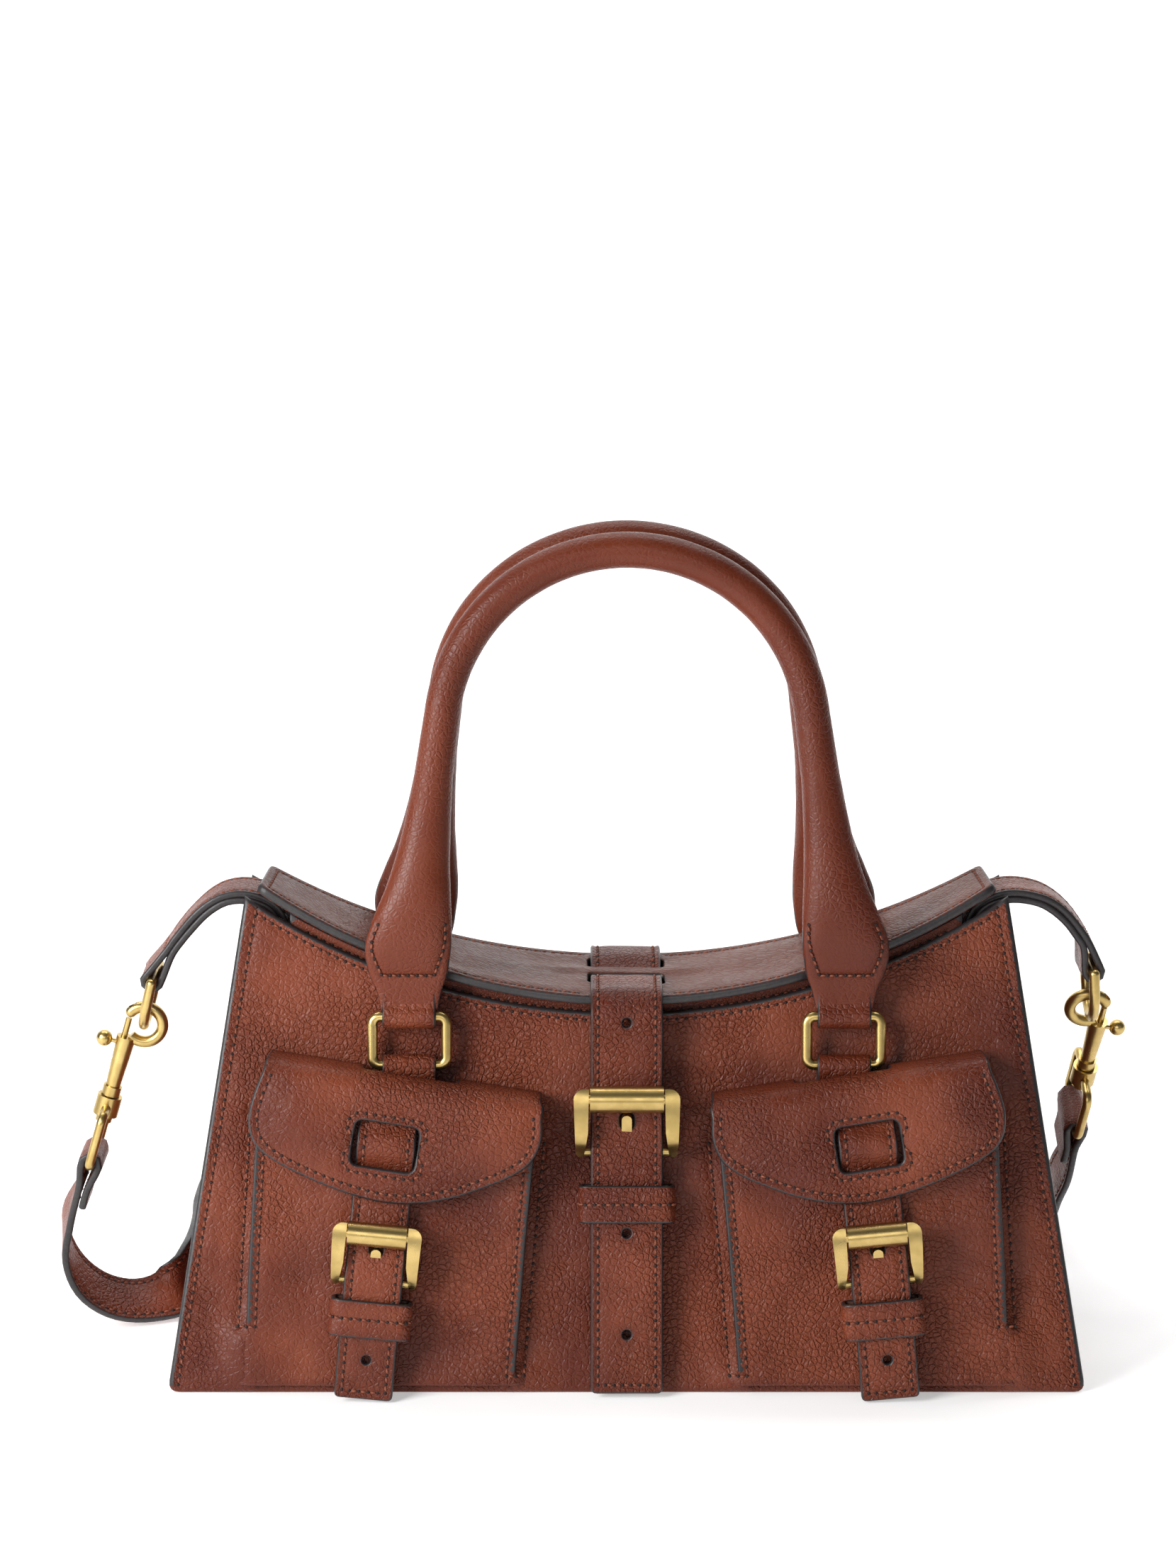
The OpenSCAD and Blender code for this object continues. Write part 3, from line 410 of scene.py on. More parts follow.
def stitching(name, body, place, runs, surface, pitch=3.1):
    """Saddle stitches, with a dark disc at each hole between them: painted shade in the holes."""
    spots, ways, ends = [], [], []
    for run in runs:
        run = np.asarray(run, float)
        s = np.concatenate([[0], np.cumsum(np.linalg.norm(np.diff(run, axis=0), axis=1))])
        n = max(1, round(s[-1] / pitch))
        step = s[-1] / n

        def at(q):
            return np.column_stack([np.interp(q, s, run[:, 0]), np.interp(q, s, run[:, 1])])
        for k in range(n):
            q = (k + np.array([f for f, _, _ in STITCH])) * step
            spots.append(at(q))
            way = at([q[-1]]) - at([q[0]])
            ways.append(way[0] / max(np.linalg.norm(way), 1e-9))
        ends.append(at(np.arange(n + 1) * step))
    spots, ways, ends = np.array(spots), np.array(ways), np.vstack(ends)
    across = np.column_stack([-ways[:, 1], ways[:, 0]])
    lift = np.array([h for _, h, _ in STITCH])
    radius = np.array([r for _, _, r in STITCH])
    ring = len(STITCH)
    slant = np.linspace(-THREAD_SLANT, THREAD_SLANT, ring)
    spots = spots + across[:, None, :] * slant[None, :, None]
    base = surface(spots.reshape(-1, 2)).reshape(len(spots), ring) + lift
    sides = THREAD_SIDES
    angle = 2 * math.pi * np.arange(sides) / sides
    beside = radius[None, :, None] * np.cos(angle)
    flat = spots[:, :, None, :] + across[:, None, None, :] * beside[..., None]
    high = base[:, :, None] + radius[None, :, None] * np.sin(angle)
    points = np.concatenate([flat, high[..., None]], axis=3).reshape(-1, 3)
    faces = []
    for o in range(0, len(points), ring * sides):
        for a in range(o, o + (ring - 1) * sides, sides):
            faces += [(a + j, a + (j + 1) % sides, a + sides + (j + 1) % sides, a + sides + j)
                      for j in range(sides)]
        faces.append([o + j for j in range(sides)][::-1])
        faces.append([o + (ring - 1) * sides + j for j in range(sides)])
    index = [0] * len(faces)
    count, m = len(points), len(ends)
    # a dark disc over each hole, painted shade
    around = 2 * math.pi * np.arange(HOLE_SHADE_ROUND) / HOLE_SHADE_ROUND
    rim = np.column_stack([(ends[:, None, 0] + HOLE_SHADE_R * np.cos(around)).ravel(),
                           (ends[:, None, 1] + HOLE_SHADE_R * np.sin(around)).ravel()])
    rim = np.column_stack([rim, surface(rim) + 0.07])
    h = surface(ends)
    points = np.vstack([points, rim, np.column_stack([ends, h + 0.1]), np.column_stack([ends, h - 0.7])])
    for k in range(m):
        for j in range(HOLE_SHADE_ROUND):
            a, b = count + HOLE_SHADE_ROUND * k + j, count + HOLE_SHADE_ROUND * k + (j + 1) % HOLE_SHADE_ROUND
            faces += [(a, b, count + HOLE_SHADE_ROUND * m + k), (b, a, count + (HOLE_SHADE_ROUND + 1) * m + k)]
    index += [1] * (len(faces) - len(index))
    return make(name, place(points), faces, [sewn, painted_hole_shade], body, index=index)


# ---- materials ----

def begin(name):
    m = bpy.data.materials.new(name)
    m.use_nodes = True
    tree = m.node_tree
    return m, tree, tree.nodes["Principled BSDF"]


def node(tree, kind, props=None, **inputs):
    n = tree.nodes.new(kind)
    for k, v in (props or {}).items():
        setattr(n, k, v)
    for k, v in inputs.items():
        socket = n.inputs[int(k[1:])] if k[0] == "i" and k[1:].isdigit() else n.inputs[k.replace("_", " ")]
        if isinstance(v, bpy.types.NodeSocket):
            tree.links.new(v, socket)
        else:
            socket.default_value = v
    return n


def sums(tree, kind, a, b=0.0):
    return node(tree, "ShaderNodeMath", {"operation": kind}, i0=a, i1=b).outputs[0]


def times(tree, a, b):
    return sums(tree, "MULTIPLY", a, b)


def plus(tree, a, b):
    return sums(tree, "ADD", a, b)


def noisy(tree, at, scale, detail, output="Fac"):
    return node(tree, "ShaderNodeTexNoise", Vector=at, Scale=scale, Detail=detail).outputs[output]


def ridges(tree, at, scale):
    """How far each point is from the edge of its pebble."""
    n = node(tree, "ShaderNodeTexVoronoi", {"feature": "DISTANCE_TO_EDGE"}, Vector=at, Scale=scale)
    return n.outputs["Distance"]


def bumped(tree, skin, height, depth):
    bump = node(tree, "ShaderNodeBump", Height=height, Distance=depth, Strength=1.0)
    tree.links.new(bump.outputs["Normal"], skin.inputs["Normal"])


def span(tree, value, a, b, c, d):
    return node(tree, "ShaderNodeMapRange", {"interpolation_type": "SMOOTHSTEP"}, Value=value, From_Min=a,
                From_Max=b, To_Min=c, To_Max=d).outputs[0]


def mixed(tree, factor, a, b):
    n = node(tree, "ShaderNodeMix", {"data_type": "RGBA"})
    for socket, v in zip((n.inputs[0], n.inputs[6], n.inputs[7]), (factor, a, b)):
        if isinstance(v, bpy.types.NodeSocket):
            tree.links.new(v, socket)
        else:
            socket.default_value = v
    return n.outputs[2]


SMALL_PEBBLES, PEBBLE_PUSH = 2.2, 0.7


def leather(name, light, dark, crease, cells=520.0, depth=0.00034, rough=(0.34, 0.52), coat=0.04, shown=0.5,
            stretch=(1, 1, 1), turned=(0, 0, 0), vein=0.0):
    """Tumbled leather: uneven pebbles in two sizes, with creases between them and darker cut edges."""
    m, tree, skin = begin(name)
    here = node(tree, "ShaderNodeTexCoord").outputs["Object"]
    laid = node(tree, "ShaderNodeMapping", Vector=here, Rotation=turned).outputs[0]
    laid = node(tree, "ShaderNodeMapping", Vector=laid, Scale=stretch).outputs[0]
    wobble = noisy(tree, laid, cells * 0.4, 1.5, "Color")
    push = node(tree, "ShaderNodeVectorMath", {"operation": "SUBTRACT"}, i0=wobble, i1=(0.5, 0.5, 0.5))
    push = node(tree, "ShaderNodeVectorMath", {"operation": "SCALE"}, i0=push.outputs[0],
                Scale=PEBBLE_PUSH / cells)
    spot = node(tree, "ShaderNodeVectorMath", {"operation": "ADD"}, i0=laid, i1=push.outputs[0]).outputs[0]
    big, little = ridges(tree, spot, cells), ridges(tree, spot, cells * SMALL_PEBBLES)
    worn = span(tree, noisy(tree, here, 26.0, 3.0), 0.38, 0.62, 0.3, 1.0)
    fine = noisy(tree, laid, 2400.0, 3.0)
    swell = noisy(tree, here, 140.0, 2.0)
    high = times(tree, span(tree, big, 0.0, 0.22, 0.0, 1.0), worn)
    high = plus(tree, high, times(tree, span(tree, little, 0.0, 0.3, 0.0, 0.3), worn))
    high = plus(tree, high, times(tree, fine, 0.16))
    high = plus(tree, high, times(tree, swell, 1.5))
    bumped(tree, skin, high, depth)
    tint = mixed(tree, span(tree, noisy(tree, here, 19.0, 5.0), 0.34, 0.66, 0.0, 1.0), dark, light)
    tint = mixed(tree, span(tree, fine, 0.3, 0.7, 0.0, 0.22), tint, dark)
    # crease colour: the grain's own tone; the lid's pale creases are painted sheen
    tint = mixed(tree, times(tree, span(tree, big, 0.0, 0.075, shown, 0.0), worn), tint, crease)
    tint = mixed(tree, times(tree, span(tree, little, 0.0, 0.07, shown * 0.35, 0.0), worn), tint, crease)
    lines = sums(tree, "ABSOLUTE", sums(tree, "SUBTRACT", noisy(tree, laid, cells * 0.35, 4.0), 0.5))
    tint = mixed(tree, span(tree, lines, 0.0, 0.012, vein, 0.0), tint, crease)
    near = node(tree, "ShaderNodeAttribute", {"attribute_name": "near_edge"}).outputs["Fac"]
    tint = mixed(tree, span(tree, near, 0.03, 0.3, 0.55, 0.0), tint, dark)
    tree.links.new(tint, skin.inputs["Base Color"])
    shine = plus(tree, span(tree, big, 0.0, 0.14, rough[1], rough[0]),
                 times(tree, sums(tree, "SUBTRACT", swell, 0.5), 0.25))
    tree.links.new(shine, skin.inputs["Roughness"])
    skin.inputs["Coat Weight"].default_value = coat
    skin.inputs["Coat Roughness"].default_value = 0.3
    skin.inputs["Specular IOR Level"].default_value = 0.26
    return m


def plain(name, light, dark, rough, size, depth, metal=0.0, coat=0.0, stretch=(1, 1, 1), spread=0.1):
    """A material with fine noise in its colour, gloss and bump."""
    m, tree, skin = begin(name)
    here = node(tree, "ShaderNodeTexCoord").outputs["Object"]
    here = node(tree, "ShaderNodeMapping", Vector=here, Scale=stretch).outputs[0]
    fine, broad = noisy(tree, here, size, 3.0), noisy(tree, here, size / 14, 2.0)
    tone = plus(tree, times(tree, fine, 0.5), times(tree, broad, 0.5))
    tree.links.new(mixed(tree, span(tree, tone, 0.36, 0.64, 0.0, 1.0), dark, light),
                   skin.inputs["Base Color"])
    tree.links.new(span(tree, tone, 0.3, 0.7, rough + spread, rough - spread), skin.inputs["Roughness"])
    bumped(tree, skin, fine, depth)
    skin.inputs["Metallic"].default_value = metal
    skin.inputs["Coat Weight"].default_value = coat
    return m


THREAD_PITCH = 0.0007


def woven(name, light, dark):
    m, tree, skin = begin(name)
    here = node(tree, "ShaderNodeTexCoord").outputs["Object"]
    waves = []
    for turned in ((0, 0, 0), (0, math.pi / 2, 0)):
        spot = node(tree, "ShaderNodeMapping", Vector=here, Rotation=turned).outputs[0]
        waves.append(node(tree, "ShaderNodeTexWave", Vector=spot, Scale=0.32 / THREAD_PITCH, Distortion=0.6,
                          Detail=1.0))
    cloth = times(tree, waves[0].outputs["Fac"], waves[1].outputs["Fac"])
    tint = mixed(tree, span(tree, cloth, 0.0, 0.8, 0.0, 1.0), dark, light)
    tint = mixed(tree, span(tree, noisy(tree, here, 40.0, 3.0), 0.4, 0.7, 0.0, 0.3), tint, dark)
    tree.links.new(tint, skin.inputs["Base Color"])
    bumped(tree, skin, cloth, 0.00025)
    skin.inputs["Roughness"].default_value = 0.85
    skin.inputs["Sheen Weight"].default_value = 0.2
    return m


TAN = (0.222, 0.049, 0.019, 1)
RED_BROWN = (0.105, 0.017, 0.006, 1)
CREASE = (0.075, 0.013, 0.005, 1)
PALE = (0.30, 0.095, 0.045, 1)
grained = leather("pebbled_leather", TAN, RED_BROWN, CREASE)
grained_fine = leather("stuffed_leather", TAN, RED_BROWN, PALE, cells=520.0, depth=0.00012, shown=0.16,
                       vein=0.12)
# The lid is the body's leather with a darker base colour, painted shade on the top, and pale greyish
# creases, a painted sheen from the light above.
lid_leather_painted_shade_sheen = leather("lid_leather", (0.135, 0.036, 0.018, 1), (0.085, 0.021, 0.011, 1),
                    (0.21, 0.075, 0.045, 1), cells=620.0, depth=0.00022, rough=(0.4, 0.55), coat=0.05,
                    stretch=(0.35, 1, 1), turned=(0, 0, 0.6), shown=0.4)
tight = leather("smooth_leather", TAN, RED_BROWN, CREASE, cells=800.0, depth=0.00012, shown=0.3)
flesh = leather("flesh_side", (0.20, 0.075, 0.040, 1), (0.14, 0.05, 0.028, 1), (0.22, 0.09, 0.05, 1),
                cells=1500.0, depth=0.00012, rough=(0.7, 0.85), coat=0.0, shown=0.1)
painted = plain("edge_paint", (0.026, 0.021, 0.022, 1), (0.014, 0.010, 0.011, 1), 0.44, 900.0, 0.00006,
                coat=0.08)
sewn = plain("thread", (0.27, 0.072, 0.032, 1), (0.15, 0.036, 0.016, 1), 0.62, 3000.0, 0.00010)
# stitch holes: near-black discs, painted shade in the holes
painted_hole_shade = plain("stitch_hole_painted_shade", (0.030, 0.008, 0.005, 1), (0.012, 0.004, 0.003, 1), 0.8, 2000.0, 0.00005)
brass = plain("antique_brass", (0.61, 0.44, 0.17, 1), (0.48, 0.34, 0.12, 1), 0.30, 260.0, 0.000004,
              metal=1.0, spread=0.04)
steel = plain("dull_steel", (0.52, 0.52, 0.54, 1), (0.40, 0.40, 0.42, 1), 0.35, 1200.0, 0.00002, metal=1.0)
board = plain("base_board_fibre", (0.40, 0.30, 0.19, 1), (0.26, 0.19, 0.12, 1), 0.8, 700.0, 0.0001,
              stretch=(1, 4, 1))
rope = plain("cotton_cord", (0.62, 0.56, 0.46, 1), (0.42, 0.37, 0.30, 1), 0.85, 1400.0, 0.0003,
             stretch=(1, 1, 3))
cloth = woven("lining_weave", (0.42, 0.33, 0.24, 1), (0.26, 0.20, 0.14, 1))


# ---- shoulder strap, a free strap from hook to hook behind the bag ----

SLING_W, SLING_T = 20, 2.5
D_R, D_LEG, SHANK_X, EYE_LOW, HEAD_DROP = 12.1, 5.9, 4.8, -51.2, 0.5
HANGERS = {"left": ((161.8, 130), 13, 16.4, 0), "right": ((159.4, 133.4), 2.5, -6, 27)}


def hung(points, side, is_way=False):
    """From the frame of a hook to the bag, drawn on the right."""
    bar, ring_lean, hook_lean, swung = HANGERS[side]
    shift = 0 if is_way else 1
    p = turn(np.asarray(points, float) - np.array((0, 0, HEAD_DROP)) * shift, "y", ring_lean - hook_lean)
    p = turn(p - np.array((0, 0, D_R)) * shift, "x", swung)
    p = turn(p - np.array((0, 0, D_LEG)) * shift, "y", -ring_lean)
    return p + np.array((bar[0], 0, bar[1])) * shift


FOLD_END = [(-1.4, -17), (-1.4, -9.5), (-2.7, -3.2), (-3.1, 0), (-2.2, 2.2), (0, 3.1), (2.2, 2.2), (3.1, 0),
            (2.7, -3.2), (1.5, -9.5)]
fold_end = np.array([(SHANK_X + a, 0, EYE_LOW + b) for a, b in FOLD_END])
end_left = np.hstack([hung(fold_end, "left") * (-1, 1, 1), np.tile((0.0, 1.0, 0.0), (len(fold_end), 1))])
end_right = np.hstack([hung(fold_end, "right"),
                       np.tile(hung((0, 1.0, 0), "right", True), (len(fold_end), 1))])[::-1]
ROUTE = [(-194.6, 0.7, 42, -0.2, 1, 0.08), (-195.6, 1.8, 29.6, -0.08, 1, 0.18),
         (-191, 3.5, 17.9, 0, 0.95, 0.3), (-182.2, 6.3, 9.9, 0, 0.93, 0.36),
         (-171, 10.2, 6.6, 0, 0.92, 0.42), (-159.6, 15, 8.5, -0.2, 0.7, 0.7), (-157.5, 27, 11.4, 0, 0.2, 1),
         (-157.4, 42, 11.4, 0.1, 0, 1), (-157.6, 58, 11.2, 0.1, 0, 1), (-158, 80, 11.2, 0, 0, 1),
         (-156.5, 112, 11.2, 0, 0.1, 1), (-149, 156, 11.2, 0, 0.2, 1), (-128, 194, 11.2, 0, 0.2, 1),
         (-94, 222, 11.2, 0, 0.2, 1), (-50, 237, 11.2, 0, 0.2, 1), (0, 240, 11.2, 0, 0.2, 1),
         (50, 235, 11.2, 0, 0.2, 1), (96, 219, 11.2, 0, 0.2, 1), (132, 191, 11.2, 0, 0.1, 1),
         (151, 152, 11.4, 0, 0, 1), (156, 112, 13, 0, 0.1, 1), (157, 77, 18, 0, 0.25, 1),
         (156.4, 62, 26.6, 0, 0.5, 0.85), (157, 50, 38, 0, 0.72, 0.7), (159, 42, 48, 0, 0.85, 0.55)]
sling = Track(np.vstack([end_left, ROUTE, end_right]), 8)


def on_sling(points):
    points = np.asarray(points, float)
    here, way = sling.at(points[:, 1]), sling.at(points[:, 1], sling.t)[:, :3]
    way /= np.linalg.norm(way, axis=1)[:, None]
    wide = here[:, 3:] - way * (here[:, 3:] * way).sum(1)[:, None]
    wide /= np.linalg.norm(wide, axis=1)[:, None]
    return here[:, :3] + wide * points[:, :1] + np.cross(way, wide) * points[:, 2:3]


def box_loop(half, low, high, radius):
    """A rounded rectangle, centred across."""
    return rounded([(-half, low), (half, low), (half, high), (-half, high)], radius)


def strip_outline(width, length, radius=2.0):
    return box_loop(width / 2, 0.0, length, radius)


def rails(width, a, b, inset_by=2.6):
    return [[(s * (width / 2 - inset_by), a), (s * (width / 2 - inset_by), b)] for s in (-1, 1)]


ends_at = sling.length
strap = Sheet("shoulder_strap_leather", strip_outline(SLING_W, ends_at), SLING_T, on_sling, "bag",
              runs=rails(SLING_W, 26, ends_at - 26)
              + [[(-6.5, 6), (6.5, 6)], [(-6.5, ends_at - 6), (6.5, ends_at - 6)]],
              step=3.0, fine=[(4, 34, 0.9), (ends_at - 34, ends_at - 4, 0.9)],
              materials=[grained, tight, painted])
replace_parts(strap.obj, "shoulder_strap")


# ---- body ----

def ease(x):
    return x * x * (3 - 2 * x)


def bulge(p, seed=0.0):
    """How the soft front sags between its seams: always inwards, and nothing near the edges."""
    u, v = np.abs(p[:, 0]), p[:, 1]
    free = np.clip((150 - v * 0.155 - u) / 26, 0, 1) * np.clip(v / 18, 0, 1)
    rim = RIM_V + RIM_R - np.sqrt(np.maximum(RIM_R ** 2 - u ** 2, 1))
    free *= np.clip((rim - v) / 30, 0, 1)
    sag = 0.8 + 1.5 * ripple(p, 46, 3.1 + seed) + 0.7 * ripple(p, 19, 8.4 + seed)
    return -free * np.maximum(sag, 0)


SLIT_OUT, SLIT_IN = 24.5, 7.8


def pocket_side(v, outer):
    """Where the side of the right pocket lies at this height."""
    if outer:
        return np.interp(v, (3, 30, 100), (128, 127.6, 123.6))
    return np.interp(v, (3, 50, 86), (37.8, 34, 30.6))


def pocket_face_height(v):
    return FACE_W + (v - FACE_V) * math.tan(math.radians(FACE_TILT))


def front_relief(p):
    """Below the ends of the slits the front rises to run level into the pocket."""
    u, v = np.abs(p[:, 0]), p[:, 1]
    level = pocket_face_height(np.maximum(v, 0)) - 0.3
    low = ease(np.clip((v + 0.5) / 7, 0, 1))
    out = np.clip(1 - (u - pocket_side(v, True)) / 15, 0, 1) * np.clip((SLIT_OUT + 6 - v) / 12, 0, 1)
    into = np.clip(1 - (pocket_side(v, False) - u) / 13, 0, 1) * np.clip((SLIT_IN + 6 - v) / 10, 0, 1)
    out = np.where(u < pocket_side(v, True), np.clip(1 - (pocket_side(v, True) - u) / 6, 0, 1), out)
    into = np.where(u > pocket_side(v, False), np.clip(1 - (u - pocket_side(v, False)) / 6, 0, 1), into)
    rise = np.maximum(ease(out), ease(into)) * np.clip((SLIT_OUT + 8 - v) / 10, 0, 1)
    return bulge(p) * (1 - rise) + level * rise * low


def rim_line(extra=0.0, half=TOP_W / 2):
    u = np.linspace(half, -half, 40)
    return np.column_stack([u, RIM_V + RIM_R - np.sqrt((RIM_R + extra) ** 2 - u ** 2)])


def panel_outline():
    rim = rim_line()
    low = rounded([(-BASE_W / 2 + 0.3, 0.4), (BASE_W / 2 - 0.3, 0.4), (TOP_W / 2, CORNER_V),
                   (-TOP_W / 2, CORNER_V)], 4)
    return np.vstack([low[low[:, 1] < 20], rim])


def panel_runs():
    side = [(BASE_W / 2 - 3.9, 3), (TOP_W / 2 - 3.9, CORNER_V - 4)]
    rim = rim_line(3.0, TOP_W / 2 - 4)
    return [side, rim, [(-side[1][0], side[1][1]), (-side[0][0], side[0][1])]]


def turned_under(p):
    """The bottom edge is turned under the base, so it has no painted edge."""
    return p[:, 1] < 2.6


def at_level(place, w):
    return lambda p: place(np.asarray(p, float) + (0, 0, w))


# for each slit: whether it is the outer one, where its stitches run, and how far beside its edge
SEAMS = ((True, (SLIT_OUT - 1.5, 50, 78, 96), 3.0), (False, (SLIT_IN - 1.5, 30, 60, 84), -3.0))
slit_runs = [np.column_stack([s * (pocket_side(np.array(v), outer) + beside), v])
             for s in (-1, 1) for outer, v, beside in SEAMS]

front = Sheet("front_leather", panel_outline(), LEATHER, at_level(panel, -LEATHER / 2), "bag",
              runs=panel_runs() + slit_runs, relief=front_relief, step=3.2, edge=1.7, paint=1.5,
              bare=turned_under)
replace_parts(front.obj, "front_panel")
back = Sheet("back_leather", panel_outline(), LEATHER, mirror(at_level(panel, -LEATHER / 2), y=-1), "bag",
             runs=panel_runs(), relief=lambda p: bulge(p, 20.0), step=3.6, edge=1.7, paint=1.5,
             bare=turned_under)
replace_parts(back.obj, "back_panel")


def side_out(z):
    return BASE_W / 2 - 7 - z * math.tan(SIDE_LEAN)


def deep_in(z):
    return BASE_D / 2 - z * math.tan(LEAN) - (LEATHER + GAP) / CL


def side_in(z):
    return side_out(z) - 2 - GAP


facing_line, facing_low = rim_line(-FACING_UP, 114), rim_line(FACING_DOWN, 114)
for line in (facing_line, facing_low):
    line[:, 0] = [min(abs(u), side_in(v * CL)) * np.sign(u) for u, v in line]
for end, way in (("front", 1), ("back", -1)):
    facing = Sheet(end + "_facing_leather", np.vstack([facing_line, facing_low[::-1]]), FACING_T,
                   mirror(at_level(panel, -LEATHER - GAP - FACING_T / 2), y=way), "bag",
                   runs=[rim_line(0.0, 108)], step=3.5, materials=[tight, tight, painted],
                   slot="facing_leather", edge=0.5)
    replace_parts(facing.obj, end + "_facing")

GUSSET_H = 154


def on_gusset(points):
    """The side, drawn on the right: along the depth, up, and out."""
    y, z, h = np.asarray(points, float).T
    half = deep_in(z) + 2.2
    near = np.clip(np.abs(y) / half, 0, 1)
    flare = 5.0 * np.clip((near - 0.80) / 0.2, 0, 1) ** 2
    crease = -2.6 * np.exp(-(y / 7) ** 2) * np.clip((z - 20) / 60, 0, 1)
    crease = crease * np.clip((GUSSET_H - 8 - z) / 30, 0, 1)
    x = side_out(z) - 1 + h + flare + crease
    return np.column_stack([x, y, z])


gusset_outline = np.array([(-deep_in(0.6) - 1.8, 0.6), (deep_in(0.6) + 1.8, 0.6),
                           (deep_in(GUSSET_H) + 1.4, GUSSET_H), (-deep_in(GUSSET_H) - 1.4, GUSSET_H)])
for end, way in (("left", -1), ("right", 1)):
    gusset = Sheet("gusset_leather_" + end, gusset_outline, 2.0, mirror(on_gusset, x=way), "bag", step=2.6,
                   relief=lambda p: 0.5 * ripple(p, 22, 5.0 + way))
    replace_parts(gusset.obj, "gusset_" + end)

x0, y0 = side_in(2) - 1, deep_in(2) - 3
base = Sheet("base_leather", rounded([(-x0, -y0), (x0, -y0), (x0, y0), (-x0, y0)], 3), 2.6,
             lambda p: np.asarray(p, float) + (0, 0, 1.6), "bag", step=7,
             runs=[rounded([(-x0 + 8, -y0 + 8), (x0 - 8, -y0 + 8), (x0 - 8, y0 - 8), (-x0 + 8, y0 - 8)],
                           3)])
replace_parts(base.obj, "base_panel")


def lining_bag():
    """A loose cloth bag inside, open at the top."""
    around, levels = 96, 22
    verts, faces = [], []
    for layer, inner in ((0, 0.0), (1, 0.8)):
        for k in range(levels + 1):
            for j in range(around):
                a = 2 * math.pi * j / around
                c, s = math.cos(a), math.sin(a)
                z_low = 6.2 + inner
                t = k / levels
                z = z_low + t * 105
                x = (side_in(z) - 6.2 - inner) * math.copysign(abs(c) ** 0.28, c)
                y = (deep_in(z) - 1.2 - FACING_T * (z > 60) - inner) * math.copysign(abs(s) ** 0.28, s)
                top = RIM_ZC - math.sqrt((RIM_RZ + FACING_DOWN + 3) ** 2 - x * x)
                z = z_low + t * (top - z_low)
                wave = 1 + noise.noise(Vector((x / 26, y / 26, z / 40)))
                fold_in = 1 - 0.022 * wave * math.sin(math.pi * min(t * 1.2, 1))
                verts.append((x * fold_in, y * fold_in, z))
    per = (levels + 1) * around
    for layer in (0, 1):
        for k in range(levels):
            for j in range(around):
                i = (j + 1) % around
                o = layer * per + k * around
                faces.append((o + j, o + i, o + around + i, o + around + j))
        faces.append([layer * per + j for j in range(around)])
    for j in range(around):
        i = (j + 1) % around
        o = levels * around
        faces.append((o + j, o + i, per + o + i, per + o + j))
    return make("lining_cloth_bag", verts, faces, [cloth], "bag")


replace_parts(lining_bag(), "lining")


# ---- lid ----

LENS_FRONT, LENS_BACK, LID_FRONT, LID_BACK = 585, 765, -29, 24.3
LID_R = RIM_RZ - FACING_UP - GAP - LID_T / 2


def on_lid(points):
    x, y, h = np.asarray(points, float).T
    a = x / LID_R
    return np.column_stack([(LID_R - h) * np.sin(a), y, RIM_ZC - (LID_R - h) * np.cos(a)])


def flat_x(x):
    return LID_R * np.arcsin(np.asarray(x, float) / LID_R)


def lid_front_edge(x):
    x = np.abs(x)
    notch = 2.4 * np.exp(-((x - RING_U) / 13.5) ** 2)
    return LID_FRONT + LENS_FRONT - np.sqrt(LENS_FRONT ** 2 - x ** 2) + notch


def lid_outline():
    x = np.linspace(-124.4, 124.4, 84)
    low = np.column_stack([flat_x(x), lid_front_edge(x)])
    x = np.linspace(123.2, -123.2, 60)
    high = np.column_stack([flat_x(x), LID_BACK - LENS_BACK + np.sqrt(LENS_BACK ** 2 - x ** 2)])
    return np.vstack([low[:1] + (1.4, 0), low[1:-1], low[-1:] - (1.4, 0), low[-1:] + (0, 1.6),
                      high[:1] - (0, 1.6), high[:1] - (1.4, 0), high[1:-1], high[-1:] + (1.4, 0),
                      high[-1:] - (0, 1.6), low[:1] + (0, 1.6)])


SLOT_W, BRIDGE = 25.9, (-2.5, 5.5)


def lid_relief(p):
    x, y = p.T
    beside = np.exp(-(np.maximum(np.abs(x) - 13, 0) / 9) ** 2)
    bridge = 0.6 * beside * np.exp(-((y - 1.5) / 4.2) ** 2)
    pucker = -1.1 * np.exp(-((np.abs(x) - 21) / 7) ** 2) * np.exp(-((y + 3.2) / 1.6) ** 2)
    soft = 0.9 * ripple(p * (0.6, 1), 17, 2.2) * np.clip((118 - np.abs(x)) / 20, 0, 1)
    edge = np.clip(distance(p, [np.vstack([lid_loop, lid_loop[:1]])]) / 9, 0, 1)
    return bridge + pucker + soft * edge


lid_loop = lid_outline()
slots = [box_loop(SLOT_W / 2, a, b, 1.5) for a, b in ((-13, BRIDGE[0]), (BRIDGE[1], 16))]
lid_stitch = inset(lid_loop, 3.2)
lid_stitch = np.vstack([lid_stitch, lid_stitch[:1]])
keep = np.abs(lid_stitch[:, 0]) > 14
breaks = np.where(np.diff(keep.astype(int)))[0]
parts = [q for q in np.split(lid_stitch, breaks + 1) if abs(q[0, 0]) > 14 and len(q) > 3]
lid = Sheet("lid_leather", lid_loop, LID_T, on_lid, "lid_and_strap", runs=parts, holes=slots,
            relief=lid_relief, step=2.8, materials=[lid_leather_painted_shade_sheen, tight, painted], edge=0.8, paint=0.4)
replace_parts(lid.obj, "lid")


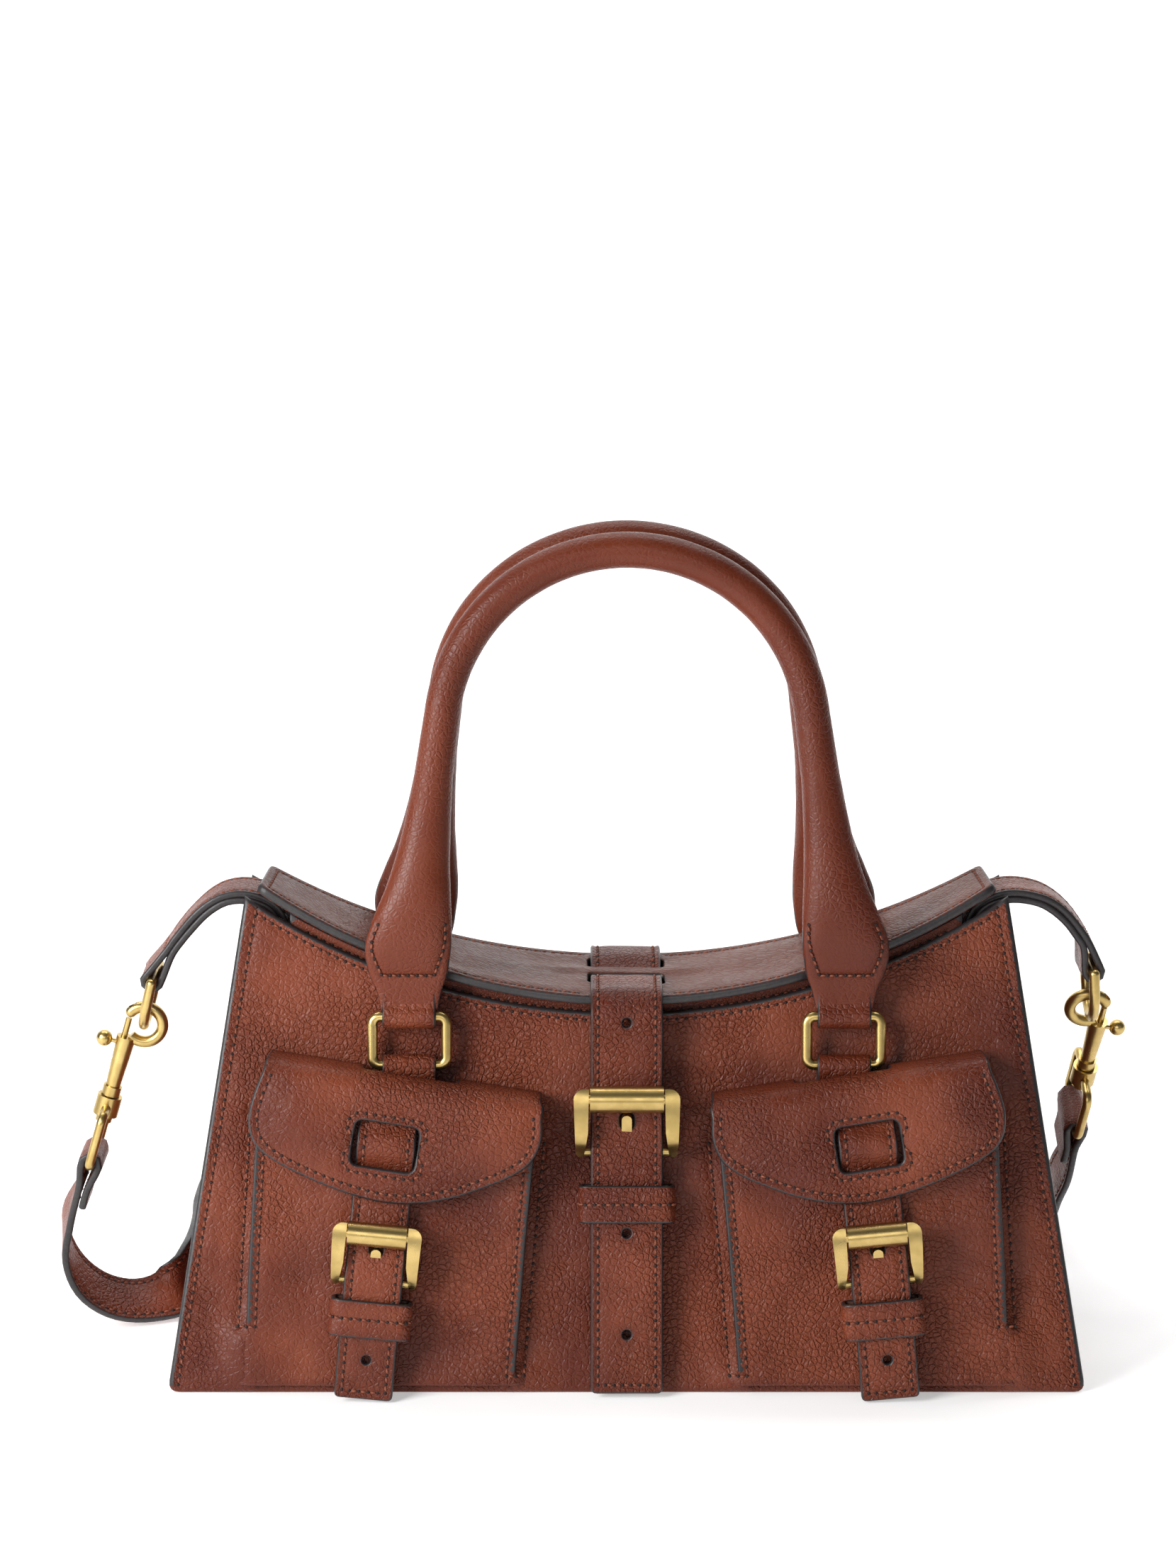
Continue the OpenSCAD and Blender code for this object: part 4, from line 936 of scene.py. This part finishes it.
BACK_PATH = [(34, 1.6), (56, 1.6), (80, 1.6), (104, 1.6), (116, 1.9), (124, 3.2)]
back_part = mirror(panel, y=-1)(np.column_stack([np.zeros(6), np.array(BACK_PATH)]))[:, 1:]
FRONT_PATH = [(128, 9.6), (121, 8.8), (110, 7.2), (99, 6.6), (86, 6.6), (72, 6.5), (56, 6.4), (42, 6),
              (28, 5), (14, 4.4), (0.6, 4.2)]
front_part = panel(np.column_stack([np.zeros(len(FRONT_PATH)), np.array(FRONT_PATH)]))[:, 1:]
OVER = [(29, -1.5), (26.5, 0.9), (23.4, 1.5), (15.5, 1.45), (12, 0.7), (8.8, -0.8), (5.5, -1.8), (1.5, -2),
        (-2.5, -1.8), (-5.8, -0.8), (-9, 0.7), (-12.5, 1.45), (-22, 1.5), (-28, 1.3), (-32, -0.8)]
centre_track = Track(np.vstack([back_part, np.array(OVER) + (0, LID_Z), front_part]), 8)
CENTRE_W, STRAP_T = 24.3, 2.2


def panel_v(track):
    """How far up the front panel each point of the track is."""
    return (track.p[:, 0] + BASE_D / 2) * SL + track.p[:, 1] * CL


def along_to_v(track, v):
    up = panel_v(track)
    first = int(np.argmax(np.where(track.p[:, 0] < -30, up, -1)))
    return float(np.interp(-v, -up[first:], track.s[first:]))


HOLE_SIDES = 14


def ring_at(x, y, r):
    a = 2 * math.pi * np.arange(HOLE_SIDES) / HOLE_SIDES
    return np.column_stack([x + r * np.cos(a), y + r * np.sin(a)])


length = centre_track.length
hole_places = [along_to_v(centre_track, v) for v in (125.2, 88.6, 54.6, 20.5)]
prong_slot = box_loop(2.2, hole_places[1] - 6, hole_places[1] - 1, 1.6)
punched = [ring_at(0, hole_places[i], 1.45) for i in (0, 2, 3)] + [prong_slot]
centre = Sheet("centre_strap_leather", strip_outline(CENTRE_W, length, 2.2), STRAP_T,
               along(centre_track, world, -1),
               runs=rails(CENTRE_W, 4, length - 3, 2.5)
               + [[(-CENTRE_W / 2 + 5, length - 3), (CENTRE_W / 2 - 5, length - 3)]],
               holes=punched, step=2.4, edge=0.65, relief=lambda p: 0.16 * ripple(p, 9, 1.0))
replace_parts(centre.obj, "centre_strap", "rear_strap")
centre.blend("bag", "lid_and_strap", (0, 0.030, 0.128), (0, 0.012, 0.132))


# ---- buckled straps ----

def keeper(name, body, base, at_v, width, top):
    """A leather loop round the strap with one line of stitches along its middle."""
    t, wide = 1.6, 12.6
    side, low, high = width / 2 - t / 2, 0.35 + t / 2, top - t / 2
    right = [(side - 2.2, low), (side - 0.3, low + 0.5), (side, low + 2.4), (side, high - 2.6),
             (side - 0.7, high - 0.7), (side - 2.6, high), (width / 4, high + 0.15)]
    mid = [(0, low), *right, (0, high + 0.2), *[(-x, z) for x, z in right[::-1]]]
    track = Track(mid, 6, closed=True)

    def place(points):
        return base(np.asarray(points, float)[:, [1, 0, 2]] + (0, at_v, 0))
    ring = Sheet(name, strip_outline(wide, track.length - 0.3, 0.4), t, along(track, place, -1), body,
                 step=1.5, runs=[[(0, 1.2), (0, track.length - 1.5)]], edge=0.6, groove=0.25)
    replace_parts(ring.obj, name.replace("_leather", ""))


def chape(name, body, base, bar_v, width, low, nodes):
    """Leather folded round the lower bar of the buckle."""
    r = 1.4 + 0.05 + 0.8  # the bar, a little room, and the middle of the leather
    path = [(low, 1.1), (bar_v - 12, 1.1), (bar_v - 5, 1.15), (bar_v - 2.4, 1.3), (bar_v, 2.75 - r),
            (bar_v + 1.6, 2.75 - r * 0.7), (bar_v + r, 2.75), (bar_v + 1.6, 2.75 + r * 0.7),
            (bar_v, 2.75 + r), (bar_v - 2.4, 4.3), (bar_v - 5, 4.0), (low + 12, 3.9), (low, 3.8)]
    track = Track(path, 6)
    notch = box_loop(2.1, track.where(bar_v - 4.5), track.where(bar_v - 4.5, last=True), 1.0)
    piece = Sheet(name, strip_outline(width, track.length, 1.0), 1.4, along(track, base, -1), body,
                  holes=[notch], step=1.8, edge=0.5)
    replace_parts(piece.obj, *nodes)


CB_BAR, PB_BAR = 81.5, 40.2
keeper("centre_keeper_leather", "lid_and_strap", panel, 64.3, 32.4, 9.7)
chape("centre_chape_leather", "lid_and_strap", panel, CB_BAR, 22, 43, ["centre_chape"])

POCKET_W, WINDOW = 19.6, (80.7, 80.9)
POCKET_PATH = [(100, 1.7), (95.5, 1.7), (92, 2.6), (88.8, 4.9), (86.3, 5.6), (83.8, 4.9), (80.6, 2.6),
               (77, 1.75), (70, 1.75),
               (64, 2.3), (57, 3.8), (50, 5.9), (42, 6.6), (30, 6.6), (18, 6.4), (8, 5.4), (0.7, 4.4)]
EAR = [(-11.4, 1.8), (-13.2, 4.4), (-13.0, 7.8), (-10.6, 10.0), (10.6, 10.0), (13.0, 7.8), (13.2, 4.4),
       (11.4, 1.8)]
WINDOW_EARS = [EAR, [(x, -y) for x, y in EAR]]
FLAP_EDGE = [(28.2, 94), (28.4, 87), (31.4, 80), (37.4, 75.2), (46, 71.4), (58, 67.4), (71.8, 65.4),
             (84, 66.4), (98, 70.6),
             (112, 76.8), (120.6, 82), (125.2, 87.4), (126.2, 95), (124.2, 103), (121.4, 109.8)]
FLAP_PATH = [(-60, 0), (-20, 0), (-8, 0.0), (-4.4, -0.1), (-2.0, -0.9), (-0.3, -2.8), (0.6, -5.6),
             (1.0, -9), (1.2, -13), (1.2, -20)]
flap_track = Track(FLAP_PATH, 8)
FLAP_ZERO = flap_track.where(-20.0)
ROOT_END = flap_track.where(-15.0, 1)
ROOT_NOTCH = flap_track.where(-8.2, 1)
FOLD_TOP = flap_track.where(-3.0)
FLAP_T = 2.2


def fold_flat(p):
    """From the pocket face to the flap's own flat pattern."""
    p = np.asarray(p, float) - (FOLD_U, FOLD_V - FACE_V)
    p = turn(np.column_stack([p, np.zeros(len(p))]), "z", -FOLD_A)[:, :2]
    return np.column_stack([p[:, 0], FLAP_ZERO + 20 + p[:, 1]])


flap_line = fold_flat(smooth(np.array(FLAP_EDGE) - (0, FACE_V), 4))
flap_line = flap_line[(flap_line[:, 1] < FOLD_TOP - 0.5)]
flap_loop = np.vstack([flap_line, [(flap_line[-1, 0] - 0.2, FOLD_TOP + 1.5), (93.4, FOLD_TOP + 4),
                                   (92.8, ROOT_END), (60.6, ROOT_END), (60.6, ROOT_NOTCH),
                                   (59.6, ROOT_NOTCH - 1), (30.2, ROOT_NOTCH - 1), (29.2, ROOT_NOTCH),
                                   (29.2, ROOT_END), (0.4, ROOT_END), (0.2, FOLD_TOP + 4),
                                   (flap_line[0, 0] - 0.1, FOLD_TOP + 1.5)]])
window_loop = box_loop(10.7, -7.5, 7.5, 2.6)


def to_window(p):
    p = turn(np.column_stack([np.asarray(p, float), np.zeros(len(p))]), "z", FOLD_A)[:, :2]
    return fold_flat(p + WINDOW)


flap_rim = inset(flap_line, -3.0, False) if area(flap_loop) < 0 else inset(flap_line, 3.0, False)
flap_hole = to_window(window_loop)


def flap_relief(p):
    line = np.vstack([flap_line, flap_line[-1:]])
    d = np.clip(distance(p, [line]) / 16, 0, 1)
    hole = np.clip(distance(p, [np.vstack([flap_hole, flap_hole[:1]])]) / 12, 0, 1)
    down = np.clip((FOLD_TOP - p[:, 1]) / 10, 0, 1)
    return down * (1.6 * d * d * (3 - 2 * d) * (0.15 + 0.85 * hole) + 0.8 * hole * d * ripple(p, 15, 4.0)
                   + 0.25 * ripple(p, 6, 9.0))


pocket_track = Track(POCKET_PATH, 8)


def pocket_height(p):
    x, y = p.T
    free = np.clip(np.minimum(x - 34, 125 - x) / 16, 0, 1) * np.clip((y + 2) / 14, 0, 1)
    sag = 0.9 + 1.6 * ripple(p, 27, 6.0) + 0.5 * ripple(p, 10, 7.0)
    return -free * sag * (0.5 + 0.5 * np.clip((90 - y) / 60, 0, 1))


def pocket_outline():
    """The pocket front in its own plane, wider below the slits, where it runs into the front of the bag."""
    v = np.array([100, 80, 60, 40, SLIT_OUT])
    outer = np.column_stack([pocket_side(v, True), v])
    v = np.array([SLIT_IN, 30, 50, 70, 86])
    inner = np.column_stack([pocket_side(v, False), v])
    low = [(pocket_side(SLIT_OUT, True) + 0.1, SLIT_OUT - 0.8), (pocket_side(22, True) + 6.5, 20),
           (pocket_side(3, True) + 7, 3), (pocket_side(3, False) - 7, 3), (pocket_side(3, False) - 6, 5.5),
           (pocket_side(SLIT_IN, False) - 0.1, SLIT_IN - 0.6)]
    return np.vstack([outer, low, inner])


def pocket_relief(p):
    """The margins below the slits dip under the front leather."""
    u, v = p[:, 0], p[:, 1] + FACE_V
    over = np.maximum(np.maximum(u - pocket_side(v, True), pocket_side(v, False) - u), 0)
    inner = -pocket_side(v, False) + u
    low = np.clip((SLIT_OUT + 2 - v) / 8, 0, 1)
    tuck = -np.minimum(over, 7) * 0.62
    return pocket_height(p) * np.clip(np.minimum(inner, pocket_side(v, True) - u) / 10, 0, 1) + tuck * low


def below_slits(p):
    u, v = p[:, 0], p[:, 1] + FACE_V
    beside = (u > pocket_side(v, True)) | (u < pocket_side(v, False))
    return beside | (v < SLIT_IN) | ((u > 100) & (v < SLIT_OUT))


def wall(outer):
    """The side of the pocket, set back behind its edge."""
    v = np.linspace(2, 96 if outer else 84, 30)
    u = pocket_side(v, outer) - (2.6 if outer else -2.6)
    track = Track(np.column_stack([u, v]), 2)

    def place(points):
        w, s, h = np.asarray(points, float).T
        q = track.at(s)
        height = pocket_face_height(q[:, 1]) - 1.6
        return panel(np.column_stack([q[:, 0] + h, q[:, 1], 0.2 + w * (height - 0.2)]))
    return track, place


for end, way in (("left", -1), ("right", 1)):
    body = "flap_" + end

    def out(place, way=way):
        return mirror(place, x=way)

    pocket_loop = pocket_outline() - (0, FACE_V)
    seam_out = np.array([(pocket_side(v, True) - 3.0, v - FACE_V) for v in (SLIT_OUT - 1.5, 50, 78, 97)])
    seam_in = np.array([(pocket_side(v, False) + 3.0, v - FACE_V) for v in (SLIT_IN - 1.5, 30, 60, 84)])
    tacks = [[(pocket_side(v, outer) + across, v - 1.5 - FACE_V) for across in (-3.0, 3.0)]
             for v, outer in ((SLIT_OUT, True), (SLIT_IN, False))]
    pocket = Sheet("pocket_leather_" + end, pocket_loop, 2.0, out(at_level(face, -1.1)), "bag",
                   runs=[seam_out, seam_in] + tacks, relief=pocket_relief, step=2.8, edge=0.8, paint=1.3,
                   bare=below_slits)
    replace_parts(pocket.obj, "pocket_" + end)
    for name, outer in (("outer", True), ("inner", False)):
        track, place = wall(outer)
        Sheet("pocket_wall_%s_%s" % (name, end), [(0, 0), (1, 0), (1, track.length), (0, track.length)],
              1.4, out(place), "bag", step=3.0, edge=0.05, materials=[tight, tight, tight])

    flap = Sheet("flap_leather_" + end, flap_loop, FLAP_T, out(along(flap_track, fold, 1)),
                 runs=[flap_rim] + [to_window(ears) for ears in WINDOW_EARS], holes=[flap_hole],
                 relief=flap_relief, step=2.4, edge=0.9, paint=0.8)
    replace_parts(flap.obj, "flap_" + end, "flap_root_" + end)
    a, b = out(fold)([(47, -1.5, -0.8), (47, -6.0, 0)]) * MM
    flap.blend("bag", body, tuple(a), tuple(b))

    n = pocket_track.length
    hole_v = pocket_track.where(14.5)
    slot_a, slot_b = pocket_track.where(PB_BAR + 14), pocket_track.where(PB_BAR + 9.5)
    strap = Sheet("pocket_strap_leather_" + end, strip_outline(POCKET_W, n, 2.0), STRAP_T,
                  out(along(pocket_track, down_strap, -1)), body,
                  runs=rails(POCKET_W, 3, n - 3, 2.5)
                  + [[(-POCKET_W / 2 + 5, n - 2.8), (POCKET_W / 2 - 5, n - 2.8)]],
                  holes=[ring_at(0, hole_v, 1.4), box_loop(2.1, slot_a, slot_b, 1.6)],
                  step=2.0, edge=0.65, relief=lambda p: 0.14 * ripple(p, 8, 2.0))
    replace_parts(strap.obj, "pocket_strap_" + end)
    keeper("keeper_leather_" + end, body, out(down_strap), 28.3, 27.4, 9.6)
    chape("chape_leather_" + end, body, out(down_strap), PB_BAR, 17.6, 10.5, ["chape_" + end])


# ---- ring tabs and handles ----

RING_TAB = [(94.5, 2.2), (98, 2.5), (102, 3.6), (105.5, 5.2), (108.6, 6.5), (110.8, 6.93), (112.7, 6.13),
            (113.5, 4.2), (112.7, 2.2), (110.8, 1.5), (107, 1.25), (101, 1.2), (94.5, 1.2)]
tab_track = Track(RING_TAB, 7)


BAR_FIT = 0.08
loop_r = WIRE + BAR_FIT + 1.1
LOOP_LEG = [(1.0, 9), (1.05, 5), (1.4, 3), (2.4, 1.3)]
LOOP = [(-x, z) for x, z in LOOP_LEG]
LOOP += [(-loop_r * math.cos(a), -loop_r * math.sin(a)) for a in np.radians(np.arange(0, 181, 22.5))]
LOOP += LOOP_LEG[::-1]
loop_track = Track(LOOP, 5)

LEG = np.array([(2.8, 73, 9.6, 2.2, 5, 0), (9, 73, 11, 2.3, 5, 0), (14, 73.2, 13, 2.8, 4, 0.4),
                (20, 73.4, 14.2, 4, 3, 1.6),
                (26, 73, 14.4, 5.1, 2.5, 2.5), (34, 71.4, 12.9, 5.7, 2.1, 2.9), (43, 69.6, 10.9, 6, 2, 2.5),
                (54, 68, 9, 6.1, 2, 1), (68, 66.2, 7.5, 6.1, 2, 0.2), (82, 64.4, 6.4, 6, 2, 0)], float)
BEND_R, TUBE_R, ARCH_A = 62, 6, 83
ARCH_Z = 156.6 - BEND_R
TRAPEZOID = [(-11.2, 32), (-12.3, 27), (-11.9, 22.5), (-8.8, 14.4), (8.8, 14.4), (11.9, 22.5), (12.3, 27),
             (11.2, 32)]


leg_fine = smooth(LEG, 8)


def leg_at(z):
    return [np.interp(z, leg_fine[:, 0], leg_fine[:, k]) for k in range(1, 6)]


def handle_front_face(s):
    """Flat pattern of one leg's outer face: across, up, out."""
    def place(points):
        x, z, h = np.asarray(points, float).T
        middle, wide, deep, e, forward = leg_at(z)
        t = np.clip(np.abs(x) / wide, 0, 0.999)
        y = -deep * (1 - t ** e) ** (1 / e) - forward
        return np.column_stack([s * (middle + x), y - h, z])
    return place


def handle_rows():
    """One row for each station: middle across and up, the way across it, half width, half depth,
    squareness, and how far the stuffing stands forward."""
    rows = [(r[1], r[0], 1.0, 0.0, r[2], r[3], r[4], r[5]) for r in leg_fine[:-1]]
    way = np.gradient(leg_fine[:, 1]), np.gradient(leg_fine[:, 0])
    for k, r in enumerate(rows):
        d = np.array([way[0][k], way[1][k]])
        d /= np.linalg.norm(d)
        tilt = np.clip((r[1] - 20) / 30, 0, 1)
        across = np.array([1, 0]) * (1 - tilt) + np.array([d[1], -d[0]]) * tilt
        rows[k] = (r[0], r[1], *(across / np.linalg.norm(across)), *r[4:])
    for a in np.radians(np.linspace(ARCH_A, 0, 44)):
        rows.append((BEND_R * math.sin(a), ARCH_Z + BEND_R * math.cos(a), math.sin(a), math.cos(a), TUBE_R,
                     TUBE_R, 2.0, 0.0))
    flipped = [(-x, z, -dx, dz, w, t, e, f) for x, z, dx, dz, w, t, e, f in rows[-2::-1]]
    return np.array(rows + flipped)


def handle_skin(name, body, place):
    rows, sides = handle_rows(), 56
    verts, faces, index = [], [], []
    lines = [np.array(TRAPEZOID, float)]
    for x, z, dx, dz, wide, deep, e, forward in rows:
        s = 1 if x > 0 else -1
        for k in range(sides):
            a = 2 * math.pi * k / sides
            c, q = math.cos(a), math.sin(a)
            u = wide * math.copysign(abs(c) ** (2 / e), c)
            v = deep * math.copysign(abs(q) ** (2 / e), q)
            if z < 34 and v < 0:
                leg_x = s * (x + dx * u) - leg_at(z)[0]
                near = distance(np.array([[leg_x, z]]), lines)[0]
                v += 0.55 * math.exp(-(near / 1.0) ** 2)
            wrinkle = 1 + 0.012 * noise.noise(Vector((x / 9, z / 9, a * 1.2)))
            verts.append((x + dx * u * wrinkle, v * wrinkle - forward, z + dz * u * wrinkle))
    for r in range(len(rows) - 1):
        for k in range(sides):
            j = (k + 1) % sides
            faces.append((r * sides + k, (r + 1) * sides + k, (r + 1) * sides + j, r * sides + j))
            mid = math.cos(2 * math.pi * (k + 0.5) / sides)
            low = min(rows[r][1], rows[r + 1][1])
            band = 0.93 if low < 20 else 0.975
            index.append(1 if abs(mid) > band and low < 30 else 0)
    last = (len(rows) - 1) * sides
    faces += [list(range(sides)), list(range(last + sides - 1, last - 1, -1))]
    index += [0, 0]
    thing = make(name, place(verts), faces, [grained_fine, painted], body, index)
    for s in (-1, 1):
        face_at = handle_front_face(s)
        stitching(name + "_thread_%d" % (s + 2), body, lambda p, f=face_at: place(f(p)), [TRAPEZOID],
                  lambda p: np.full(len(p), -0.15), 3.0)
    return thing


for end, way in (("front", 1), ("back", -1)):
    tabs = []
    for s in (-1, 1):
        base_at = along(tab_track, panel, 1)
        tab = Sheet("ring_tab_leather_%s_%d" % (end, s + 2), strip_outline(18, tab_track.length, 0.8), 1.7,
                    mirror(lambda p, f=base_at, s=s: f(p) + (s * RING_U, 0, 0), y=way), "bag", step=1.6,
                    edge=0.5)
        tabs.append(tab.obj)
    for tab in tabs:
        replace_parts(tab, "ring_tabs_" + end)
    body = "handle_" + end
    place = mirror(on_handle, y=way)
    skin_piece = handle_skin("handle_leather_" + end, body, place)
    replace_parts(skin_piece, "handle_" + end)
    loop_at = along(loop_track, on_handle, -1)
    for s in (-1, 1):
        Sheet("handle_loop_%s_%d" % (end, s + 2), strip_outline(18, loop_track.length, 0.6), 2.2,
              mirror(lambda p, f=loop_at, s=s: f(p) + (s * RING_U, 0, 0), y=way), body, step=1.7, edge=0.6)


# ---- side tabs ----

TABS = {"left": ([(115.5, 138), (116.4, 147), (118, 153), (121.4, 157.2), (126.4, 159.2), (132, 159.8),
                  (138, 158.4), (144.5, 153.8), (151, 146.6), (156, 139.6)], (161.8, 130), -1),
        "right": ([(115.5, 138), (116.4, 147), (118, 153), (121.4, 157.2), (126.4, 159.4), (133, 160.2),
                   (141, 158.6), (147.6, 154.6), (153, 148.6), (157, 142.2)], (159.4, 133.4), 1)}
for end, (path, bar, way) in TABS.items():
    path = smooth(np.array(path, float), 4)
    inward = path[-1] - bar
    reach = np.linalg.norm(inward)
    inward = inward / reach
    turn_way = np.array([inward[1], -inward[0]])
    way_on = np.gradient(path, axis=0)
    speed = np.linalg.norm(way_on, axis=1)[:, None]
    upper = path + 1.15 * np.column_stack([-way_on[:, 1], way_on[:, 0]]) / speed
    lower = 2 * path - upper
    r = WIRE + BAR_FIT + 1.0
    arc = [np.array(bar) + r * (math.cos(a) * turn_way + math.sin(a) * -inward)
           for a in np.radians(np.arange(0, 181, 22.5))]
    if (upper[-1] - path[-1]) @ turn_way < 0:
        arc = arc[::-1]
    whole = Track(np.vstack([upper[::3], arc, lower[::-1][::3]]), 4)

    def tab_at(points, way=way, whole=whole):
        return mirror(along(whole, lambda q: q[:, [1, 0, 2]], 1), x=way)(points)
    n = whole.length
    side_tab = Sheet("side_tab_leather_" + end, strip_outline(20, n, 1), 2.4, tab_at, "bag", step=2.2,
                     edge=0.8, paint=0.9,
                     runs=[[(-7.4, 3), (-7.4, n * 0.40)], [(7.4, 3), (7.4, n * 0.40)],
                           [(-7.4, n * 0.415), (7.4, n * 0.415)]],
                     relief=lambda p: 0.2 * ripple(p, 9, 5.0))
    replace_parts(side_tab.obj, "side_tab_" + end)


# ---- metal, board and cord keep their exact shapes; buckle frames, prongs and the board get softened edges, the rest crisp ones ----

METAL = ("roller", "ring_front", "ring_back", "d_ring", "hook", "bolt", "swivel", "prong", "buckle_frame")
for name, thing in frame["nodes"].items():
    material, soften = None, 0.0
    if any(word in name for word in METAL) and "tabs" not in name:
        material = brass
        soften = 0.0005 if "buckle_frame" in name else 0.0003 if "prong" in name else 0.0
    elif "magnet" in name:
        material = steel
    elif name == "base_board":
        material, soften = board, 0.0004
    elif name.startswith("handle_core"):
        material = rope
    if material is None:
        continue
    thing.data.materials.clear()
    thing.data.materials.append(material)
    thing.data.polygons.foreach_set("use_smooth", np.ones(len(thing.data.polygons), bool))
    thing.modifiers.new("weld", "WELD").merge_threshold = 0.00001
    if soften:
        bevel = thing.modifiers.new("soft_edges", "BEVEL")
        bevel.width, bevel.segments = soften, 3
        bevel.limit_method, bevel.angle_limit = "ANGLE", math.radians(35)
        thing.modifiers.new("even_normals", "WEIGHTED_NORMAL").keep_sharp = True
    else:
        thing.modifiers.new("crisp_edges", "EDGE_SPLIT").split_angle = math.radians(38)


# ---- floor and light ----

def lamp(name, place, aim, size, power):
    data = bpy.data.lights.new(name, "AREA")
    data.shape, data.size, data.size_y = "RECTANGLE", size[0], size[1]
    data.energy = power
    thing = bpy.data.objects.new(name, data)
    bpy.context.collection.objects.link(thing)
    thing.location = place
    thing.rotation_euler = (Vector(aim) - Vector(place)).to_track_quat("-Z", "Y").to_euler()
    return thing


floor_material = plain("pale_floor", (0.93, 0.93, 0.93, 1), (0.90, 0.90, 0.90, 1), 0.8, 60.0, 0.0001)
glow = floor_material.node_tree.nodes["Principled BSDF"]
glow.inputs["Emission Color"].default_value = (1, 1, 1, 1)
glow.inputs["Emission Strength"].default_value = 0.42
profile = [(-3.0, 0.0), (0.9, 0.0)]
profile += [(0.9 + 0.9 * math.sin(a), 0.9 - 0.9 * math.cos(a))
            for a in np.radians(np.arange(5, 91, 5))] + [(1.8, 3.6)]
mesh = bpy.data.meshes.new("floor")
mesh.from_pydata([(x, y, z) for y, z in profile for x in (-3.5, 3.5)], [],
                 [(2 * k, 2 * k + 1, 2 * k + 3, 2 * k + 2) for k in range(len(profile) - 1)])
mesh.materials.append(floor_material)
mesh.polygons.foreach_set("use_smooth", np.ones(len(mesh.polygons), bool))
ground = bpy.data.objects.new("floor", mesh)
bpy.context.collection.objects.link(ground)

sky = bpy.data.worlds.new("studio")
bpy.context.scene.world = sky
sky.use_nodes = True
sky.node_tree.nodes["Background"].inputs["Color"].default_value = (0.97, 0.98, 1.0, 1)
sky.node_tree.nodes["Background"].inputs["Strength"].default_value = 0.1
for row in (("key", (-0.78, -0.62, 0.5), (0, 0, 0.12), (0.45, 0.6), 12),
            ("fill", (1.3, -1.3, 0.7), (0, 0, 0.1), (0.8, 0.9), 0.5),
            ("top", (-0.1, 0.15, 1.4), (0, 0, 0.1), (1.5, 0.9), 1.8)):
    lamp(*row)
card = lamp("reflector", (-0.25, -1.7, 0.75), (0, 0, 0.1), (1.3, 0.8), 7)
card.visible_diffuse = False
lamp("backdrop_light", (0, 0.7, 2.2), (0, 1.7, 0.8), (2.5, 0.6), 34)
bpy.context.scene.view_settings.view_transform = "Standard"
bpy.context.view_layer.update()
